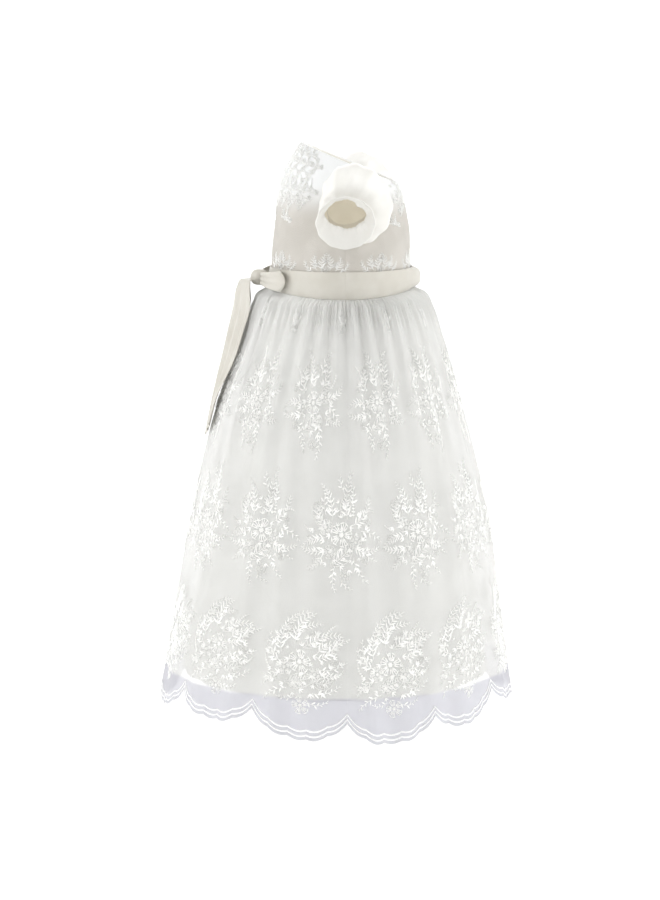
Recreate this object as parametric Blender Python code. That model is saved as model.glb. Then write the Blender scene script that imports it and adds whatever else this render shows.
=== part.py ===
"""A baby's christening gown, filled out as if worn. Metres, +Z up.

The front faces -Y, the back +Y, and the wearer's right side is at -X. The origin lies midway
between the shoulders. A turn is an angle round the body: 0 at the centre front, 90 degrees at the
wearer's right side, 180 at the centre back. Every cloth piece is a thin wall between an outer
surface, given by a function of two parameters, and the same surface moved inwards.
"""

from math import radians
from typing import NamedTuple

import bpy
import numpy as np

SEAM_GAP = 0.0003
STEP = 1e-4
SMOOTH_ANGLE = radians(50)
SATIN_WALL = 0.0015
LINING_WALL = 0.0012
NET_WALL = 0.0012
SASH_WALL = 0.0012

SIDE_TURN = radians(90)
BACK_TURN = radians(180)
FULL_TURN = radians(360)


class Section(NamedTuple):
    """A ring round the body: its height at the side, its slope from back to front, its reach."""

    along: float
    height: float
    slope: float
    side: float
    front: float
    back: float


class SkirtSection(NamedTuple):
    """A ring of the skirt, with the depth of its gathers and the share of the main folds."""

    along: float
    height: float
    side: float
    front: float
    back: float
    gather: float
    fold: float


class SleeveSection(NamedTuple):
    """A ring of the right sleeve: its centre, half sizes, downward tilt and gather depth."""

    along: float
    out: float
    ahead: float
    height: float
    half_depth: float
    half_height: float
    tilt: float
    gather: float


class TailSection(NamedTuple):
    """A line across a tail of the bow: its centre, half width and turn towards the side."""

    along: float
    aside: float
    behind: float
    height: float
    half_width: float
    turn: float


class Fold(NamedTuple):
    """A soft ridge that runs down the skirt from where it starts, swaying as it falls."""

    turn: float
    width: float
    depth: float
    start: float
    sway: float


BODICE = (
    Section(0.00, -0.1285, 0.00, 0.0830, 0.0760, 0.0820),
    Section(0.20, -0.1050, 0.00, 0.0845, 0.0757, 0.0808),
    Section(0.40, -0.0800, 0.03, 0.0845, 0.0745, 0.0778),
    Section(0.58, -0.0550, 0.10, 0.0840, 0.0705, 0.0745),
    Section(0.74, -0.0340, 0.18, 0.0805, 0.0665, 0.0690),
    Section(0.87, -0.0180, 0.30, 0.0690, 0.0630, 0.0575),
    Section(1.00, -0.0060, 0.42, 0.0500, 0.0610, 0.0480),
)
ARMHOLE_MIDDLE = 0.60
ARMHOLE_REACH = 0.24
ARMHOLE_FRONT = radians(28)
ARMHOLE_BACK = radians(16)
ARMHOLE_POINTS = 9
PANEL_POINTS = 4
FRONT_COLUMNS = 22
BACK_COLUMNS = 12

BAND_TOP = -0.1265
BAND_BOTTOM = -0.1505
BAND_SIDE_DIP = 0.0065
DIP_FADE = 0.25
BAND_STAND = 0.0020
BAND_SWELL = 0.0008
BAND_BILLOW = 0.0090
BILLOW_WIDTH = radians(17)
BAND_ROWS = 4
BAND_COLUMNS = 60

NET = (
    SkirtSection(0.00, -0.1509, 0.0862, 0.0792, 0.0852, 0.0008, 0.0),
    SkirtSection(0.02, -0.1560, 0.0955, 0.0895, 0.0945, 0.0022, 0.0),
    SkirtSection(0.06, -0.1700, 0.1040, 0.0975, 0.1015, 0.0030, 0.1),
    SkirtSection(0.15, -0.2050, 0.1175, 0.1110, 0.1140, 0.0026, 0.3),
    SkirtSection(0.32, -0.2850, 0.1440, 0.1345, 0.1445, 0.0012, 0.6),
    SkirtSection(0.55, -0.4000, 0.1710, 0.1620, 0.1730, 0.0005, 0.8),
    SkirtSection(0.80, -0.5200, 0.1890, 0.1785, 0.1945, 0.0003, 0.9),
    SkirtSection(1.00, -0.6285, 0.2025, 0.1925, 0.2130, 0.0000, 1.0),
)
NET_ROWS = (0.0, 0.02, 0.06, 0.15, 0.32, 0.55, 0.80, 1.0)
FOLD_GROWTH = 0.5

LINING = (
    SkirtSection(0.00, -0.1500, 0.0825, 0.0755, 0.0815, 0.0, 0.0),
    SkirtSection(0.05, -0.1650, 0.0880, 0.0815, 0.0860, 0.0, 0.0),
    SkirtSection(0.15, -0.1900, 0.0980, 0.0930, 0.0955, 0.0, 0.1),
    SkirtSection(0.30, -0.2450, 0.1150, 0.1070, 0.1120, 0.0, 0.3),
    SkirtSection(0.50, -0.3400, 0.1390, 0.1240, 0.1350, 0.0, 0.5),
    SkirtSection(0.75, -0.4600, 0.1630, 0.1440, 0.1600, 0.0, 0.6),
    SkirtSection(1.00, -0.5900, 0.1820, 0.1655, 0.1860, 0.0, 0.7),
)
LINING_ROWS = (0.0, 0.05, 0.15, 0.30, 0.50, 0.75, 1.0)
LINING_COLUMNS = 48

SCALLOPS = 12
LOBES = 5
LOBE_COLUMNS = 3
SCALLOP_DEPTH = 0.038
LOBE_DEPTH = 0.004
SCALLOP_START = 0.80
SCALLOP_POWER = 2.4
GATHERS = 36
GATHER_DRIFT = 0.6
NET_COLUMNS = SCALLOPS * LOBES * LOBE_COLUMNS

MAIN_FOLDS = (
    Fold(8, 5.0, 0.0045, 0.10, 1),
    Fold(25, 6.0, 0.0060, 0.05, -2),
    Fold(44, 5.0, 0.0050, 0.15, 3),
    Fold(59, 4.5, 0.0060, 0.05, 1),
    Fold(72, 4.0, 0.0045, 0.20, -3),
    Fold(84, 4.0, 0.0070, 0.05, -2),
    Fold(99, 5.0, 0.0060, 0.10, 2),
    Fold(112, 4.0, 0.0045, 0.20, 1),
    Fold(124, 5.0, 0.0060, 0.05, 4),
    Fold(141, 5.5, 0.0050, 0.15, 2),
    Fold(158, 5.0, 0.0035, 0.10, 1),
    Fold(176, 4.5, 0.0020, 0.40, 2),
    Fold(192, 5.0, 0.0020, 0.30, -2),
    Fold(209, 5.0, 0.0045, 0.10, -1),
    Fold(226, 5.5, 0.0055, 0.05, -3),
    Fold(240, 4.0, 0.0045, 0.20, 2),
    Fold(254, 5.0, 0.0065, 0.10, -1),
    Fold(267, 4.0, 0.0045, 0.15, 1),
    Fold(279, 4.5, 0.0060, 0.05, -2),
    Fold(295, 5.0, 0.0050, 0.20, 2),
    Fold(310, 5.0, 0.0060, 0.10, -1),
    Fold(327, 5.5, 0.0050, 0.05, 2),
    Fold(345, 5.0, 0.0045, 0.15, -1),
)

SLEEVE = (
    SleeveSection(0.00, 0.0850, 0.0065, -0.0520, 0.0345, 0.0360, 0, 0.0),
    SleeveSection(0.14, 0.0900, 0.0085, -0.0510, 0.0375, 0.0400, 2, 0.0012),
    SleeveSection(0.34, 0.1030, 0.0105, -0.0510, 0.0395, 0.0460, 8, 0.0009),
    SleeveSection(0.54, 0.1170, 0.0085, -0.0535, 0.0380, 0.0440, 16, 0.0009),
    SleeveSection(0.70, 0.1260, 0.0030, -0.0570, 0.0310, 0.0325, 25, 0.0012),
    SleeveSection(0.80, 0.1280, -0.0005, -0.0590, 0.0235, 0.0205, 31, 0.0009),
    SleeveSection(0.90, 0.1335, -0.0005, -0.0625, 0.0270, 0.0275, 32, 0.0003),
    SleeveSection(1.00, 0.1400, -0.0010, -0.0680, 0.0325, 0.0360, 33, 0.0004),
)
SLEEVE_ROWS = (0.0, 0.07, 0.14, 0.24, 0.34, 0.46, 0.58, 0.70, 0.76, 0.80, 0.86, 0.93, 1.0)
SLEEVE_GATHERS = 12
SLEEVE_COLUMNS = 48
SLEEVE_FIT = 0.30
SLEEVE_LAP = 1.04
SLEEVE_LIFT = 0.0005
LEFT_FORWARD = 0.030
LEFT_UP = 0.010
LEFT_BEND = (0.25, 0.80)

KNOT_BEHIND = 0.0962
KNOT_HEIGHT = -0.1390
KNOT_HALF = (0.0110, 0.0110, 0.0115)
KNOT_SIDES = 16
KNOT_ROWS = 10
KNOT_ROUNDING = 0.7

LOOP_START = radians(8)
LOOP_REACH = radians(34)
LOOP_NEAR = 0.0016
LOOP_FAR = 0.0105
LOOP_ROUNDING = 0.16
LOOP_HALF_HEIGHTS = (0.0070, 0.0112)

TAIL = (
    TailSection(0.00, 0.0050, 0.1072, -0.1430, 0.0048, 0),
    TailSection(0.04, 0.0085, 0.1125, -0.1415, 0.0075, 10),
    TailSection(0.10, 0.0125, 0.1145, -0.1500, 0.0115, 28),
    TailSection(0.20, 0.0170, 0.1160, -0.1690, 0.0160, 36),
    TailSection(0.38, 0.0200, 0.1250, -0.2000, 0.0175, 25),
    TailSection(0.55, 0.0215, 0.1345, -0.2277, 0.0185, 14),
    TailSection(0.70, 0.0225, 0.1425, -0.2520, 0.0190, 8),
    TailSection(0.85, 0.0235, 0.1495, -0.2790, 0.0195, 7),
    TailSection(1.00, 0.0245, 0.1560, -0.3100, 0.0200, 8),
)
TAIL_ROWS = (0.0, 0.02, 0.05, 0.09, 0.14, 0.20, 0.28, 0.38, 0.50, 0.64, 0.80, 1.0)
TAIL_SLANT = 0.0100
TAIL_CREASE = 0.0012
TAIL_WAVES = 1.25
TAIL_COLUMNS = 7
LOOP_POINTS = 19
LOOP_ROWS = 4

BODICE_LACE = ("bodice lace over satin", (0.74, 0.72, 0.66), 0.75)
SATIN = ("satin", (0.72, 0.69, 0.62), 0.42)
NET_CLOTH = ("embroidered net", (0.80, 0.80, 0.77), 0.85)
LINING_CLOTH = ("lining", (0.77, 0.76, 0.71), 0.60)


def clear_scene():
    """Removes every object that the scene starts with."""
    for obj in list(bpy.data.objects):
        bpy.data.objects.remove(obj, do_unlink=True)


def finish(name, colour, roughness):
    """The material of that name, made once and then shared by the pieces cut from one cloth."""
    material = bpy.data.materials.get(name)
    if material is None:
        material = bpy.data.materials.new(name)
        material.use_nodes = True
        shader = material.node_tree.nodes["Principled BSDF"]
        shader.inputs["Base Color"].default_value = (*colour, 1.0)
        shader.inputs["Roughness"].default_value = roughness
        shader.inputs["Metallic"].default_value = 0.0
    return material


def at(table, column, along):
    """A column of a table at `along`, on a cubic curve that passes through its rows."""
    stops = np.array([row.along for row in table])
    values = np.array([getattr(row, column) for row in table])
    slopes = np.gradient(values, stops)
    lower = np.clip(np.searchsorted(stops, along, side="right") - 1, 0, len(stops) - 2)
    width = stops[lower + 1] - stops[lower]
    part = (along - stops[lower]) / width
    rise = values[lower + 1] - values[lower]
    blend = part * part * (3 - 2 * part)
    bend = slopes[lower] * (1 - part) - slopes[lower + 1] * part
    return values[lower] + rise * blend + part * (1 - part) * width * bend


def smooth(value, low, high):
    """A soft step from 0 at `low` to 1 at `high`."""
    part = np.clip((value - low) / (high - low), 0, 1)
    return part * part * (3 - 2 * part)


def oval(turn, side, front, back):
    """The plan of a ring: half an ellipse in front and a deeper or shallower one behind."""
    depth = np.where(np.cos(turn) > 0, front, back)
    return -side * np.sin(turn), -depth * np.cos(turn)


def wall(name, surface, u, v, thickness, cloth, sign=1, ring=False):
    """A closed cloth wall: surface(u, v), the same points moved inwards, and a rim round both."""
    outer = surface(u, v)
    over_u = surface(u + STEP, v) - surface(u - STEP, v)
    over_v = surface(u, v + STEP) - surface(u, v - STEP)
    normal = np.cross(over_u, over_v) * sign
    normal /= np.linalg.norm(normal, axis=-1, keepdims=True)
    inner = outer - thickness * normal

    rows, columns = u.shape
    index = np.arange(rows * columns).reshape(rows, columns)
    if ring:
        index = np.concatenate([index, index[:, :1]], axis=1)
    below = index + rows * columns
    faces = [sheet_faces(index), sheet_faces(below)[:, ::-1]]
    faces += [rim_faces(index[0], below[0]), rim_faces(index[-1], below[-1])[:, ::-1]]
    if not ring:
        faces.append(rim_faces(index[:, 0], below[:, 0])[:, ::-1])
        faces.append(rim_faces(index[:, -1], below[:, -1]))
    faces = np.concatenate(faces)
    points = np.concatenate([outer.reshape(-1, 3), inner.reshape(-1, 3)])
    return add_object(name, points, faces if sign > 0 else faces[:, ::-1], cloth)


def sheet_faces(index):
    """Two triangles for each square of a grid of point numbers, facing along u cross v."""
    near, right = index[:-1, :-1], index[:-1, 1:]
    low, far = index[1:, :-1], index[1:, 1:]
    halves = [np.stack(corners, axis=-1) for corners in ((near, right, far), (near, far, low))]
    return np.concatenate(halves).reshape(-1, 3)


def rim_faces(outer, inner):
    """The triangles of a wall's rim, cut the same way on both sides of a seam."""
    first = np.stack([outer[:-1], inner[:-1], inner[1:]], axis=-1)
    second = np.stack([outer[:-1], inner[1:], outer[1:]], axis=-1)
    return np.concatenate([first, second])


def add_object(name, points, faces, cloth):
    """A smooth-shaded mesh object with one material."""
    mesh = bpy.data.meshes.new(name)
    mesh.from_pydata(points.tolist(), [], faces.tolist())
    mesh.update()
    mesh.shade_smooth()
    mesh.set_sharp_from_angle(angle=SMOOTH_ANGLE)
    mesh.materials.append(finish(*cloth))
    obj = bpy.data.objects.new(name, mesh)
    bpy.context.scene.collection.objects.link(obj)
    return obj


def spread(first, last, columns, rows, along):
    """A grid of turns from `first` to `last`, each a number or a row of them, and its `along`."""
    share = np.linspace(0, 1, columns + 1)[None, :]
    first = np.broadcast_to(first, rows)[:, None]
    last = np.broadcast_to(last, rows)[:, None]
    return first + (last - first) * share, np.repeat(along[:, None], columns + 1, axis=1)


def bodice_point(turn, along):
    """A point of the bodice's outside, from the waist at 0 to the neckline at 1."""
    sizes = [at(BODICE, column, along) for column in ("side", "front", "back")]
    x, y = oval(turn, *sizes)
    height = at(BODICE, "height", along) + at(BODICE, "slope", along) * y
    return np.stack([x, y, height], axis=-1)


def bodice_normal(turn, along):
    """The outward direction of the bodice's surface."""
    over_turn = bodice_point(turn + STEP, along) - bodice_point(turn - STEP, along)
    over_along = bodice_point(turn, along + STEP) - bodice_point(turn, along - STEP)
    normal = np.cross(over_along, over_turn)
    return normal / np.linalg.norm(normal, axis=-1, keepdims=True)


def bodice_rows():
    """The rows of the bodice: even below and above the armhole, and round its curve beside it."""
    low, high = ARMHOLE_MIDDLE - ARMHOLE_REACH, ARMHOLE_MIDDLE + ARMHOLE_REACH
    round_arm = ARMHOLE_MIDDLE - ARMHOLE_REACH * np.cos(np.linspace(0, np.pi, ARMHOLE_POINTS))
    below = np.linspace(0, low, PANEL_POINTS)[:-1]
    above = np.linspace(high, 1, PANEL_POINTS)[1:]
    return np.concatenate([below, round_arm, above])


def armhole_notch(along):
    """How far the armhole cuts into a panel's side, from 0 above and below it to 1 beside it."""
    return np.sqrt(np.clip(1 - ((along - ARMHOLE_MIDDLE) / ARMHOLE_REACH) ** 2, 0, 1))


def build_bodice():
    """The front, and the two backs that meet at the centre-back closure."""
    along = bodice_rows()
    half_gap = SEAM_GAP / 2 / at(BODICE, "side", along)
    front_edge = SIDE_TURN - ARMHOLE_FRONT * armhole_notch(along) - half_gap
    back_edge = SIDE_TURN + ARMHOLE_BACK * armhole_notch(along) + half_gap
    rows = len(along)
    panels = (
        ("bodice_front", -front_edge, front_edge, FRONT_COLUMNS),
        ("bodice_back_right", back_edge, BACK_TURN - half_gap, BACK_COLUMNS),
        ("bodice_back_left", BACK_TURN + half_gap, FULL_TURN - back_edge, BACK_COLUMNS),
    )
    for name, first, last, columns in panels:
        turn, height = spread(first, last, columns, rows, along)
        wall(name, bodice_point, turn, height, SATIN_WALL, BODICE_LACE, sign=-1)


def band_bottom(turn):
    """The height of the waistband's lower edge, which dips at the sides."""
    return BAND_BOTTOM - BAND_SIDE_DIP * np.sin(turn) ** 2


def band_point(turn, along):
    """A point of the waistband's outside, from its top at 0 to its lower edge at 1.

    The band hugs the waist, and billows a little where the sash is loose at the centre front.
    """
    waist = BODICE[0]
    ahead = np.arctan2(np.sin(turn), np.cos(turn))
    billow = BAND_BILLOW * np.exp(-((ahead / BILLOW_WIDTH) ** 2)) * (1 - (2 * along - 1) ** 4)
    stand = BAND_STAND + BAND_SWELL * 4 * along * (1 - along) + billow
    x, y = oval(turn, waist.side + stand, waist.front + stand, waist.back + stand)
    height = BAND_TOP + (band_bottom(turn) - BAND_TOP) * along
    return np.stack([x, y, height], axis=-1)


def build_waistband():
    """The satin band: one piece in front and two behind, which the bow covers where they meet."""
    half_gap = SEAM_GAP / 2 / BODICE[0].side
    along = np.linspace(0, 1, BAND_ROWS)
    pieces = (
        ("waistband_front", -SIDE_TURN + half_gap, SIDE_TURN - half_gap, BAND_COLUMNS // 2),
        ("waistband_back_right", SIDE_TURN + half_gap, BACK_TURN - half_gap, BAND_COLUMNS // 4),
        ("waistband_back_left", BACK_TURN + half_gap, FULL_TURN - SIDE_TURN - half_gap, BAND_COLUMNS // 4),
    )
    for name, first, last, columns in pieces:
        turn, height = spread(first, last, columns, len(along), along)
        wall(name, band_point, turn, height, SATIN_WALL, SATIN, sign=1)


def main_folds(turn, along):
    """How far the main folds push the skirt out."""
    push = np.zeros_like(turn)
    for fold in MAIN_FOLDS:
        middle = radians(fold.turn) + radians(fold.sway) * along
        away = (turn - middle + np.pi) % FULL_TURN - np.pi
        ridge = np.exp(-((away / radians(fold.width)) ** 2))
        push += fold.depth * ridge * smooth(along, fold.start, fold.start + FOLD_GROWTH)
    return push


def hem_rise(turn):
    """How far above its lowest point the scalloped hem ends, as a share of the skirt's length."""
    part = (turn / radians(360 / SCALLOPS)) % 1
    scallop = SCALLOP_DEPTH * np.abs(2 * part - 1) ** SCALLOP_POWER
    return scallop + LOBE_DEPTH * (1 - np.abs(np.sin(np.pi * LOBES * part)))


def skirt_ring(table, turn, along, push):
    """A ring of a skirt under the band's dipping edge, pushed out from the axis by `push`."""
    sizes = [at(table, column, along) for column in ("side", "front", "back")]
    x, y = oval(turn, *sizes)
    dip = BAND_SIDE_DIP * np.sin(turn) ** 2 * (1 - smooth(along, 0, DIP_FADE))
    return x - push * np.sin(turn), y - push * np.cos(turn), at(table, "height", along) - dip


def net_point(turn, along):
    """A point of the net skirt's outside: gathers at the waist, main folds, a scalloped hem."""
    along = along - hem_rise(turn) * smooth(along, SCALLOP_START, 1.0)
    gathers = -np.cos(GATHERS * turn + GATHER_DRIFT * np.sin(4 * turn))
    push = at(NET, "gather", along) * gathers + at(NET, "fold", along) * main_folds(turn, along)
    return np.stack(skirt_ring(NET, turn, along, push), axis=-1)


def lining_point(turn, along):
    """A point of the lining's outside, which follows the net's main folds more softly."""
    push = at(LINING, "fold", along) * main_folds(turn, along)
    return np.stack(skirt_ring(LINING, turn, along, push), axis=-1)


def build_skirt(name, surface, table, rows, columns, thickness, cloth):
    """A skirt in two panels that meet at the side seams."""
    along = np.array(rows)
    half_gap = SEAM_GAP / 2 / at(table, "side", along)
    panels = (
        (f"{name}_front", -SIDE_TURN + half_gap, SIDE_TURN - half_gap),
        (f"{name}_back", SIDE_TURN + half_gap, FULL_TURN - SIDE_TURN - half_gap),
    )
    for panel, first, last in panels:
        turn, height = spread(first, last, columns // 2, len(along), along)
        wall(panel, surface, turn, height, thickness, cloth, sign=1)


def armhole_point(angle):
    """A point just outside the bodice, round the right armhole: 0 in front, 90 degrees above."""
    reach = np.where(np.cos(angle) > 0, ARMHOLE_FRONT, ARMHOLE_BACK) * SLEEVE_LAP
    turn = SIDE_TURN - reach * np.cos(angle)
    along = ARMHOLE_MIDDLE + ARMHOLE_REACH * SLEEVE_LAP * np.sin(angle)
    return bodice_point(turn, along) + SLEEVE_LIFT * bodice_normal(turn, along)


def sleeve_ring(angle, along):
    """A ring of the right sleeve: a gathered oval that tilts down as it leaves the body."""
    ripple = at(SLEEVE, "gather", along) * np.cos(SLEEVE_GATHERS * angle)
    depth = at(SLEEVE, "half_depth", along) + ripple
    rise = (at(SLEEVE, "half_height", along) + ripple) * np.sin(angle)
    tilt = np.radians(at(SLEEVE, "tilt", along))
    x = -at(SLEEVE, "out", along) - rise * np.sin(tilt)
    y = -at(SLEEVE, "ahead", along) - depth * np.cos(angle)
    return np.stack([x, y, at(SLEEVE, "height", along) + rise * np.cos(tilt)], axis=-1)


def sleeve_point(angle, along):
    """A point of the right sleeve's outside, which starts on the line of the armhole."""
    start = armhole_point(angle) - sleeve_ring(angle, np.zeros_like(angle))
    fit = 1 - smooth(along, 0, SLEEVE_FIT)
    return sleeve_ring(angle, along) + start * fit[..., None]


def left_sleeve_point(angle, along):
    """A point of the left sleeve: the right one's mirror, held a little further forward."""
    shift = np.array([0, -LEFT_FORWARD, LEFT_UP])
    return mirrored(sleeve_point)(angle, along) + smooth(along, *LEFT_BEND)[..., None] * shift


def mirrored(surface):
    """The same surface on the wearer's left side."""
    return lambda u, v: surface(u, v) * np.array([-1, 1, 1])


def build_sleeves():
    """A puff sleeve on each side, drawn in above its flounce."""
    angles = np.linspace(0, FULL_TURN, SLEEVE_COLUMNS, endpoint=False)
    angle, along = np.meshgrid(angles, np.array(SLEEVE_ROWS))
    wall("sleeve_right", sleeve_point, angle, along, SATIN_WALL, SATIN, 1, ring=True)
    wall("sleeve_left", left_sleeve_point, angle, along, SATIN_WALL, SATIN, -1, ring=True)


def loop_point(path, across):
    """A point of the bow's right loop: out along the waistband, round its end and back."""
    reach = LOOP_REACH * (1 - LOOP_ROUNDING * across * across)
    turn = BACK_TURN - LOOP_START - reach * np.sin(np.pi * path)
    stand = LOOP_NEAR + (LOOP_FAR - LOOP_NEAR) * (1 - np.cos(np.pi * path)) / 2
    waist = BODICE[0]
    away = BAND_STAND + BAND_SWELL + stand
    x, y = oval(turn, waist.side + away, waist.front + away, waist.back + away)
    narrow, wide = LOOP_HALF_HEIGHTS
    half_height = narrow + (wide - narrow) * np.sin(np.pi * path)
    return np.stack([x, y, KNOT_HEIGHT + half_height * across], axis=-1)


def tail_point(across, along):
    """A point of the bow's right tail, from the knot at 0 down to its slanting end at 1."""
    half_width = at(TAIL, "half_width", along)
    turn = np.radians(at(TAIL, "turn", along))
    crease = TAIL_CREASE * np.cos(TAIL_WAVES * 2 * np.pi * across) * smooth(along, 0, 0.3)
    x = -at(TAIL, "aside", along) - half_width * across * np.cos(turn) - crease * np.sin(turn)
    y = at(TAIL, "behind", along) - half_width * across * np.sin(turn) + crease * np.cos(turn)
    slant = TAIL_SLANT * across * smooth(along, 0.5, 1.0)
    return np.stack([x, y, at(TAIL, "height", along) + slant], axis=-1)


def build_knot():
    """The bow's knot: a small rounded bundle of folded satin."""
    angle = np.linspace(0, FULL_TURN, KNOT_SIDES, endpoint=False)
    lean = np.linspace(-np.pi / 2, np.pi / 2, KNOT_ROWS + 1)[1:-1, None]
    ring = np.sign(np.cos(lean)) * np.abs(np.cos(lean)) ** KNOT_ROUNDING
    x = KNOT_HALF[0] * ring * np.cos(angle)
    y = KNOT_BEHIND + KNOT_HALF[1] * ring * np.sin(angle)
    z = KNOT_HEIGHT + KNOT_HALF[2] * np.sin(lean) + 0 * angle
    points = np.stack([x, y, z], axis=-1).reshape(-1, 3).tolist()
    rows = len(lean)
    index = np.arange(rows * KNOT_SIDES).reshape(rows, KNOT_SIDES)
    index = np.concatenate([index, index[:, :1]], axis=1)
    faces = sheet_faces(index).tolist()
    faces.append(index[0, :-1][::-1].tolist())
    faces.append(index[-1, :-1].tolist())
    mesh = bpy.data.meshes.new("bow_knot")
    mesh.from_pydata(points, [], faces)
    mesh.shade_smooth()
    mesh.materials.append(finish(*SATIN))
    knot = bpy.data.objects.new("bow_knot", mesh)
    bpy.context.scene.collection.objects.link(knot)


def build_bow():
    """The knot, and a loop and a tail on each side of it."""
    build_knot()
    path, across = np.meshgrid(np.linspace(0, 1, LOOP_POINTS), np.linspace(-1, 1, LOOP_ROWS))
    wall("bow_loop_right", loop_point, path, across, SASH_WALL, SATIN, 1)
    wall("bow_loop_left", mirrored(loop_point), path, across, SASH_WALL, SATIN, -1)
    across, along = np.meshgrid(np.linspace(-1, 1, TAIL_COLUMNS), np.array(TAIL_ROWS))
    wall("bow_tail_right", tail_point, across, along, SASH_WALL, SATIN, -1)
    wall("bow_tail_left", mirrored(tail_point), across, along, SASH_WALL, SATIN, 1)


def main():
    """Builds the gown from the neck down."""
    clear_scene()
    build_bodice()
    build_sleeves()
    build_waistband()
    build_bow()
    build_skirt(
        "skirt_lining", lining_point, LINING, LINING_ROWS, LINING_COLUMNS, LINING_WALL,
        LINING_CLOTH,
    )
    build_skirt("skirt_net", net_point, NET, NET_ROWS, NET_COLUMNS, NET_WALL, NET_CLOTH)


main()
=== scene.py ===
"""A baby's christening gown: lace bodice, satin puff sleeves, sash bow, embroidered net skirt.

The gown is filled out as if worn. The front faces -Y, the back +Y, and the wearer's right side is at
-X. A turn is an angle round the body: 0 at the centre front, 90 degrees at the wearer's right side,
180 at the centre back. Sizes are metres unless a name says otherwise.
"""

import logging
from collections.abc import Callable
from dataclasses import dataclass, field
from enum import Enum
from math import cos, pi, radians, sin, sqrt, tan

import bpy
import numpy as np
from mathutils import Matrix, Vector


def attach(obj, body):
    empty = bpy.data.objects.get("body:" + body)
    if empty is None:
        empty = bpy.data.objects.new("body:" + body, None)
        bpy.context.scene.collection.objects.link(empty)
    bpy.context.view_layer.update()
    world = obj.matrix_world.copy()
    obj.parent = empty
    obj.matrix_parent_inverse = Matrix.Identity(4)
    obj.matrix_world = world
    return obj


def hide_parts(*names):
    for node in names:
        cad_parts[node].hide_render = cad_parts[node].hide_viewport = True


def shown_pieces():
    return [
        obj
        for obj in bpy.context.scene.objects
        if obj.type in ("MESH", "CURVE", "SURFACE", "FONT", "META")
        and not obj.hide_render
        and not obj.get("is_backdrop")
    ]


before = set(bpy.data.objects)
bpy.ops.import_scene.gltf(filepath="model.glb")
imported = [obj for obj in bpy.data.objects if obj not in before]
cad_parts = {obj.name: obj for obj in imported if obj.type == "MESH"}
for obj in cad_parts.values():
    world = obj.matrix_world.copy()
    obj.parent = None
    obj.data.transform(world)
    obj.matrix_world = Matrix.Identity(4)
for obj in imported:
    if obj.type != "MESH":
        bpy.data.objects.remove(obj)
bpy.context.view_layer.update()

Array = np.ndarray
Surface = Callable[[Array, Array], Array]
Colour = tuple[float, float, float]

log = logging.getLogger("gown")

SIDE = radians(90)
BACK = radians(180)
FULL = radians(360)
STEP = 1e-4
SEAM_GAP = 0.00006
SHARP_EDGE = radians(50)
MILLIMETRES = 1000


def smooth(value: Array, low: float, high: float) -> Array:
    """A soft step: 3p^2 - 2p^3, where p is how far `value` has come from `low` to `high`.

    Args:
        value: the numbers to test.
        low: where the step starts, at 0.
        high: where it ends, at 1.

    Returns:
        The step's height at each value.
    """
    part = np.clip((value - low) / (high - low), 0, 1)
    return part * part * (3 - 2 * part)


def bell(away: Array, width: float) -> Array:
    """A soft bump: e to the power of minus (away / width) squared."""
    return np.exp(-((away / width) ** 2))


def turned_by(turn: Array, middle: Array) -> Array:
    """The signed angle from `middle` to `turn`, between minus and plus half a turn."""
    return (turn - middle + pi) % FULL - pi


def oval(turn: Array, side: Array, front: Array, back: Array) -> tuple[Array, Array]:
    """The plan of a ring: x = -side sin(turn), y = -depth cos(turn), with its own depth behind.

    Args:
        turn: the angles round the body.
        side: the reach to each side.
        front: the reach ahead.
        back: the reach behind.

    Returns:
        The x and the y of each point.
    """
    depth = np.where(np.cos(turn) > 0, front, back)
    return -side * np.sin(turn), -depth * np.cos(turn)


@dataclass(frozen=True)
class Profile:
    """Named sizes in rows along a piece, joined by smooth curves. The first column is `along`."""

    columns: str
    rows: tuple[tuple[float, ...], ...]

    def at(self, column: str, along: Array) -> Array:
        """One size at `along`: the cubic through the rows either side, with mean slopes.

        Args:
            column: the size's name.
            along: places along the piece.

        Returns:
            The size at each place.
        """
        table = np.array(self.rows)
        stops, values = table[:, 0], table[:, self.columns.split().index(column)]
        slopes = np.gradient(values, stops)
        lower = np.clip(np.searchsorted(stops, along, side="right") - 1, 0, len(stops) - 2)
        width = stops[lower + 1] - stops[lower]
        part = (along - stops[lower]) / width
        rise = values[lower + 1] - values[lower]
        bend = slopes[lower] * (1 - part) - slopes[lower + 1] * part
        blend = rise * part * part * (3 - 2 * part)
        return values[lower] + blend + part * (1 - part) * width * bend


BODICE = Profile(
    "along height slope side front back",
    (
        (0.00, -0.1285, 0.00, 0.0830, 0.0760, 0.0820),
        (0.20, -0.1050, 0.00, 0.0845, 0.0757, 0.0808),
        (0.40, -0.0800, 0.03, 0.0845, 0.0745, 0.0778),
        (0.58, -0.0550, 0.10, 0.0840, 0.0705, 0.0745),
        (0.74, -0.0340, 0.18, 0.0805, 0.0665, 0.0690),
        (0.87, -0.0180, 0.30, 0.0690, 0.0630, 0.0575),
        (1.00, -0.0060, 0.42, 0.0500, 0.0610, 0.0480),
    ),
)
NET = Profile(
    "along height side front back gather fold",
    (
        (0.00, -0.1509, 0.0862, 0.0792, 0.0852, 0.0008, 0.0),
        (0.02, -0.1560, 0.0955, 0.0895, 0.0945, 0.0022, 0.0),
        (0.06, -0.1700, 0.1040, 0.0975, 0.1015, 0.0030, 0.1),
        (0.15, -0.2050, 0.1175, 0.1110, 0.1140, 0.0026, 0.3),
        (0.32, -0.2850, 0.1440, 0.1345, 0.1445, 0.0012, 0.6),
        (0.55, -0.4000, 0.1710, 0.1620, 0.1730, 0.0005, 0.8),
        (0.80, -0.5200, 0.1890, 0.1785, 0.1945, 0.0003, 0.9),
        (1.00, -0.6285, 0.2025, 0.1925, 0.2130, 0.0000, 1.0),
    ),
)
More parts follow.
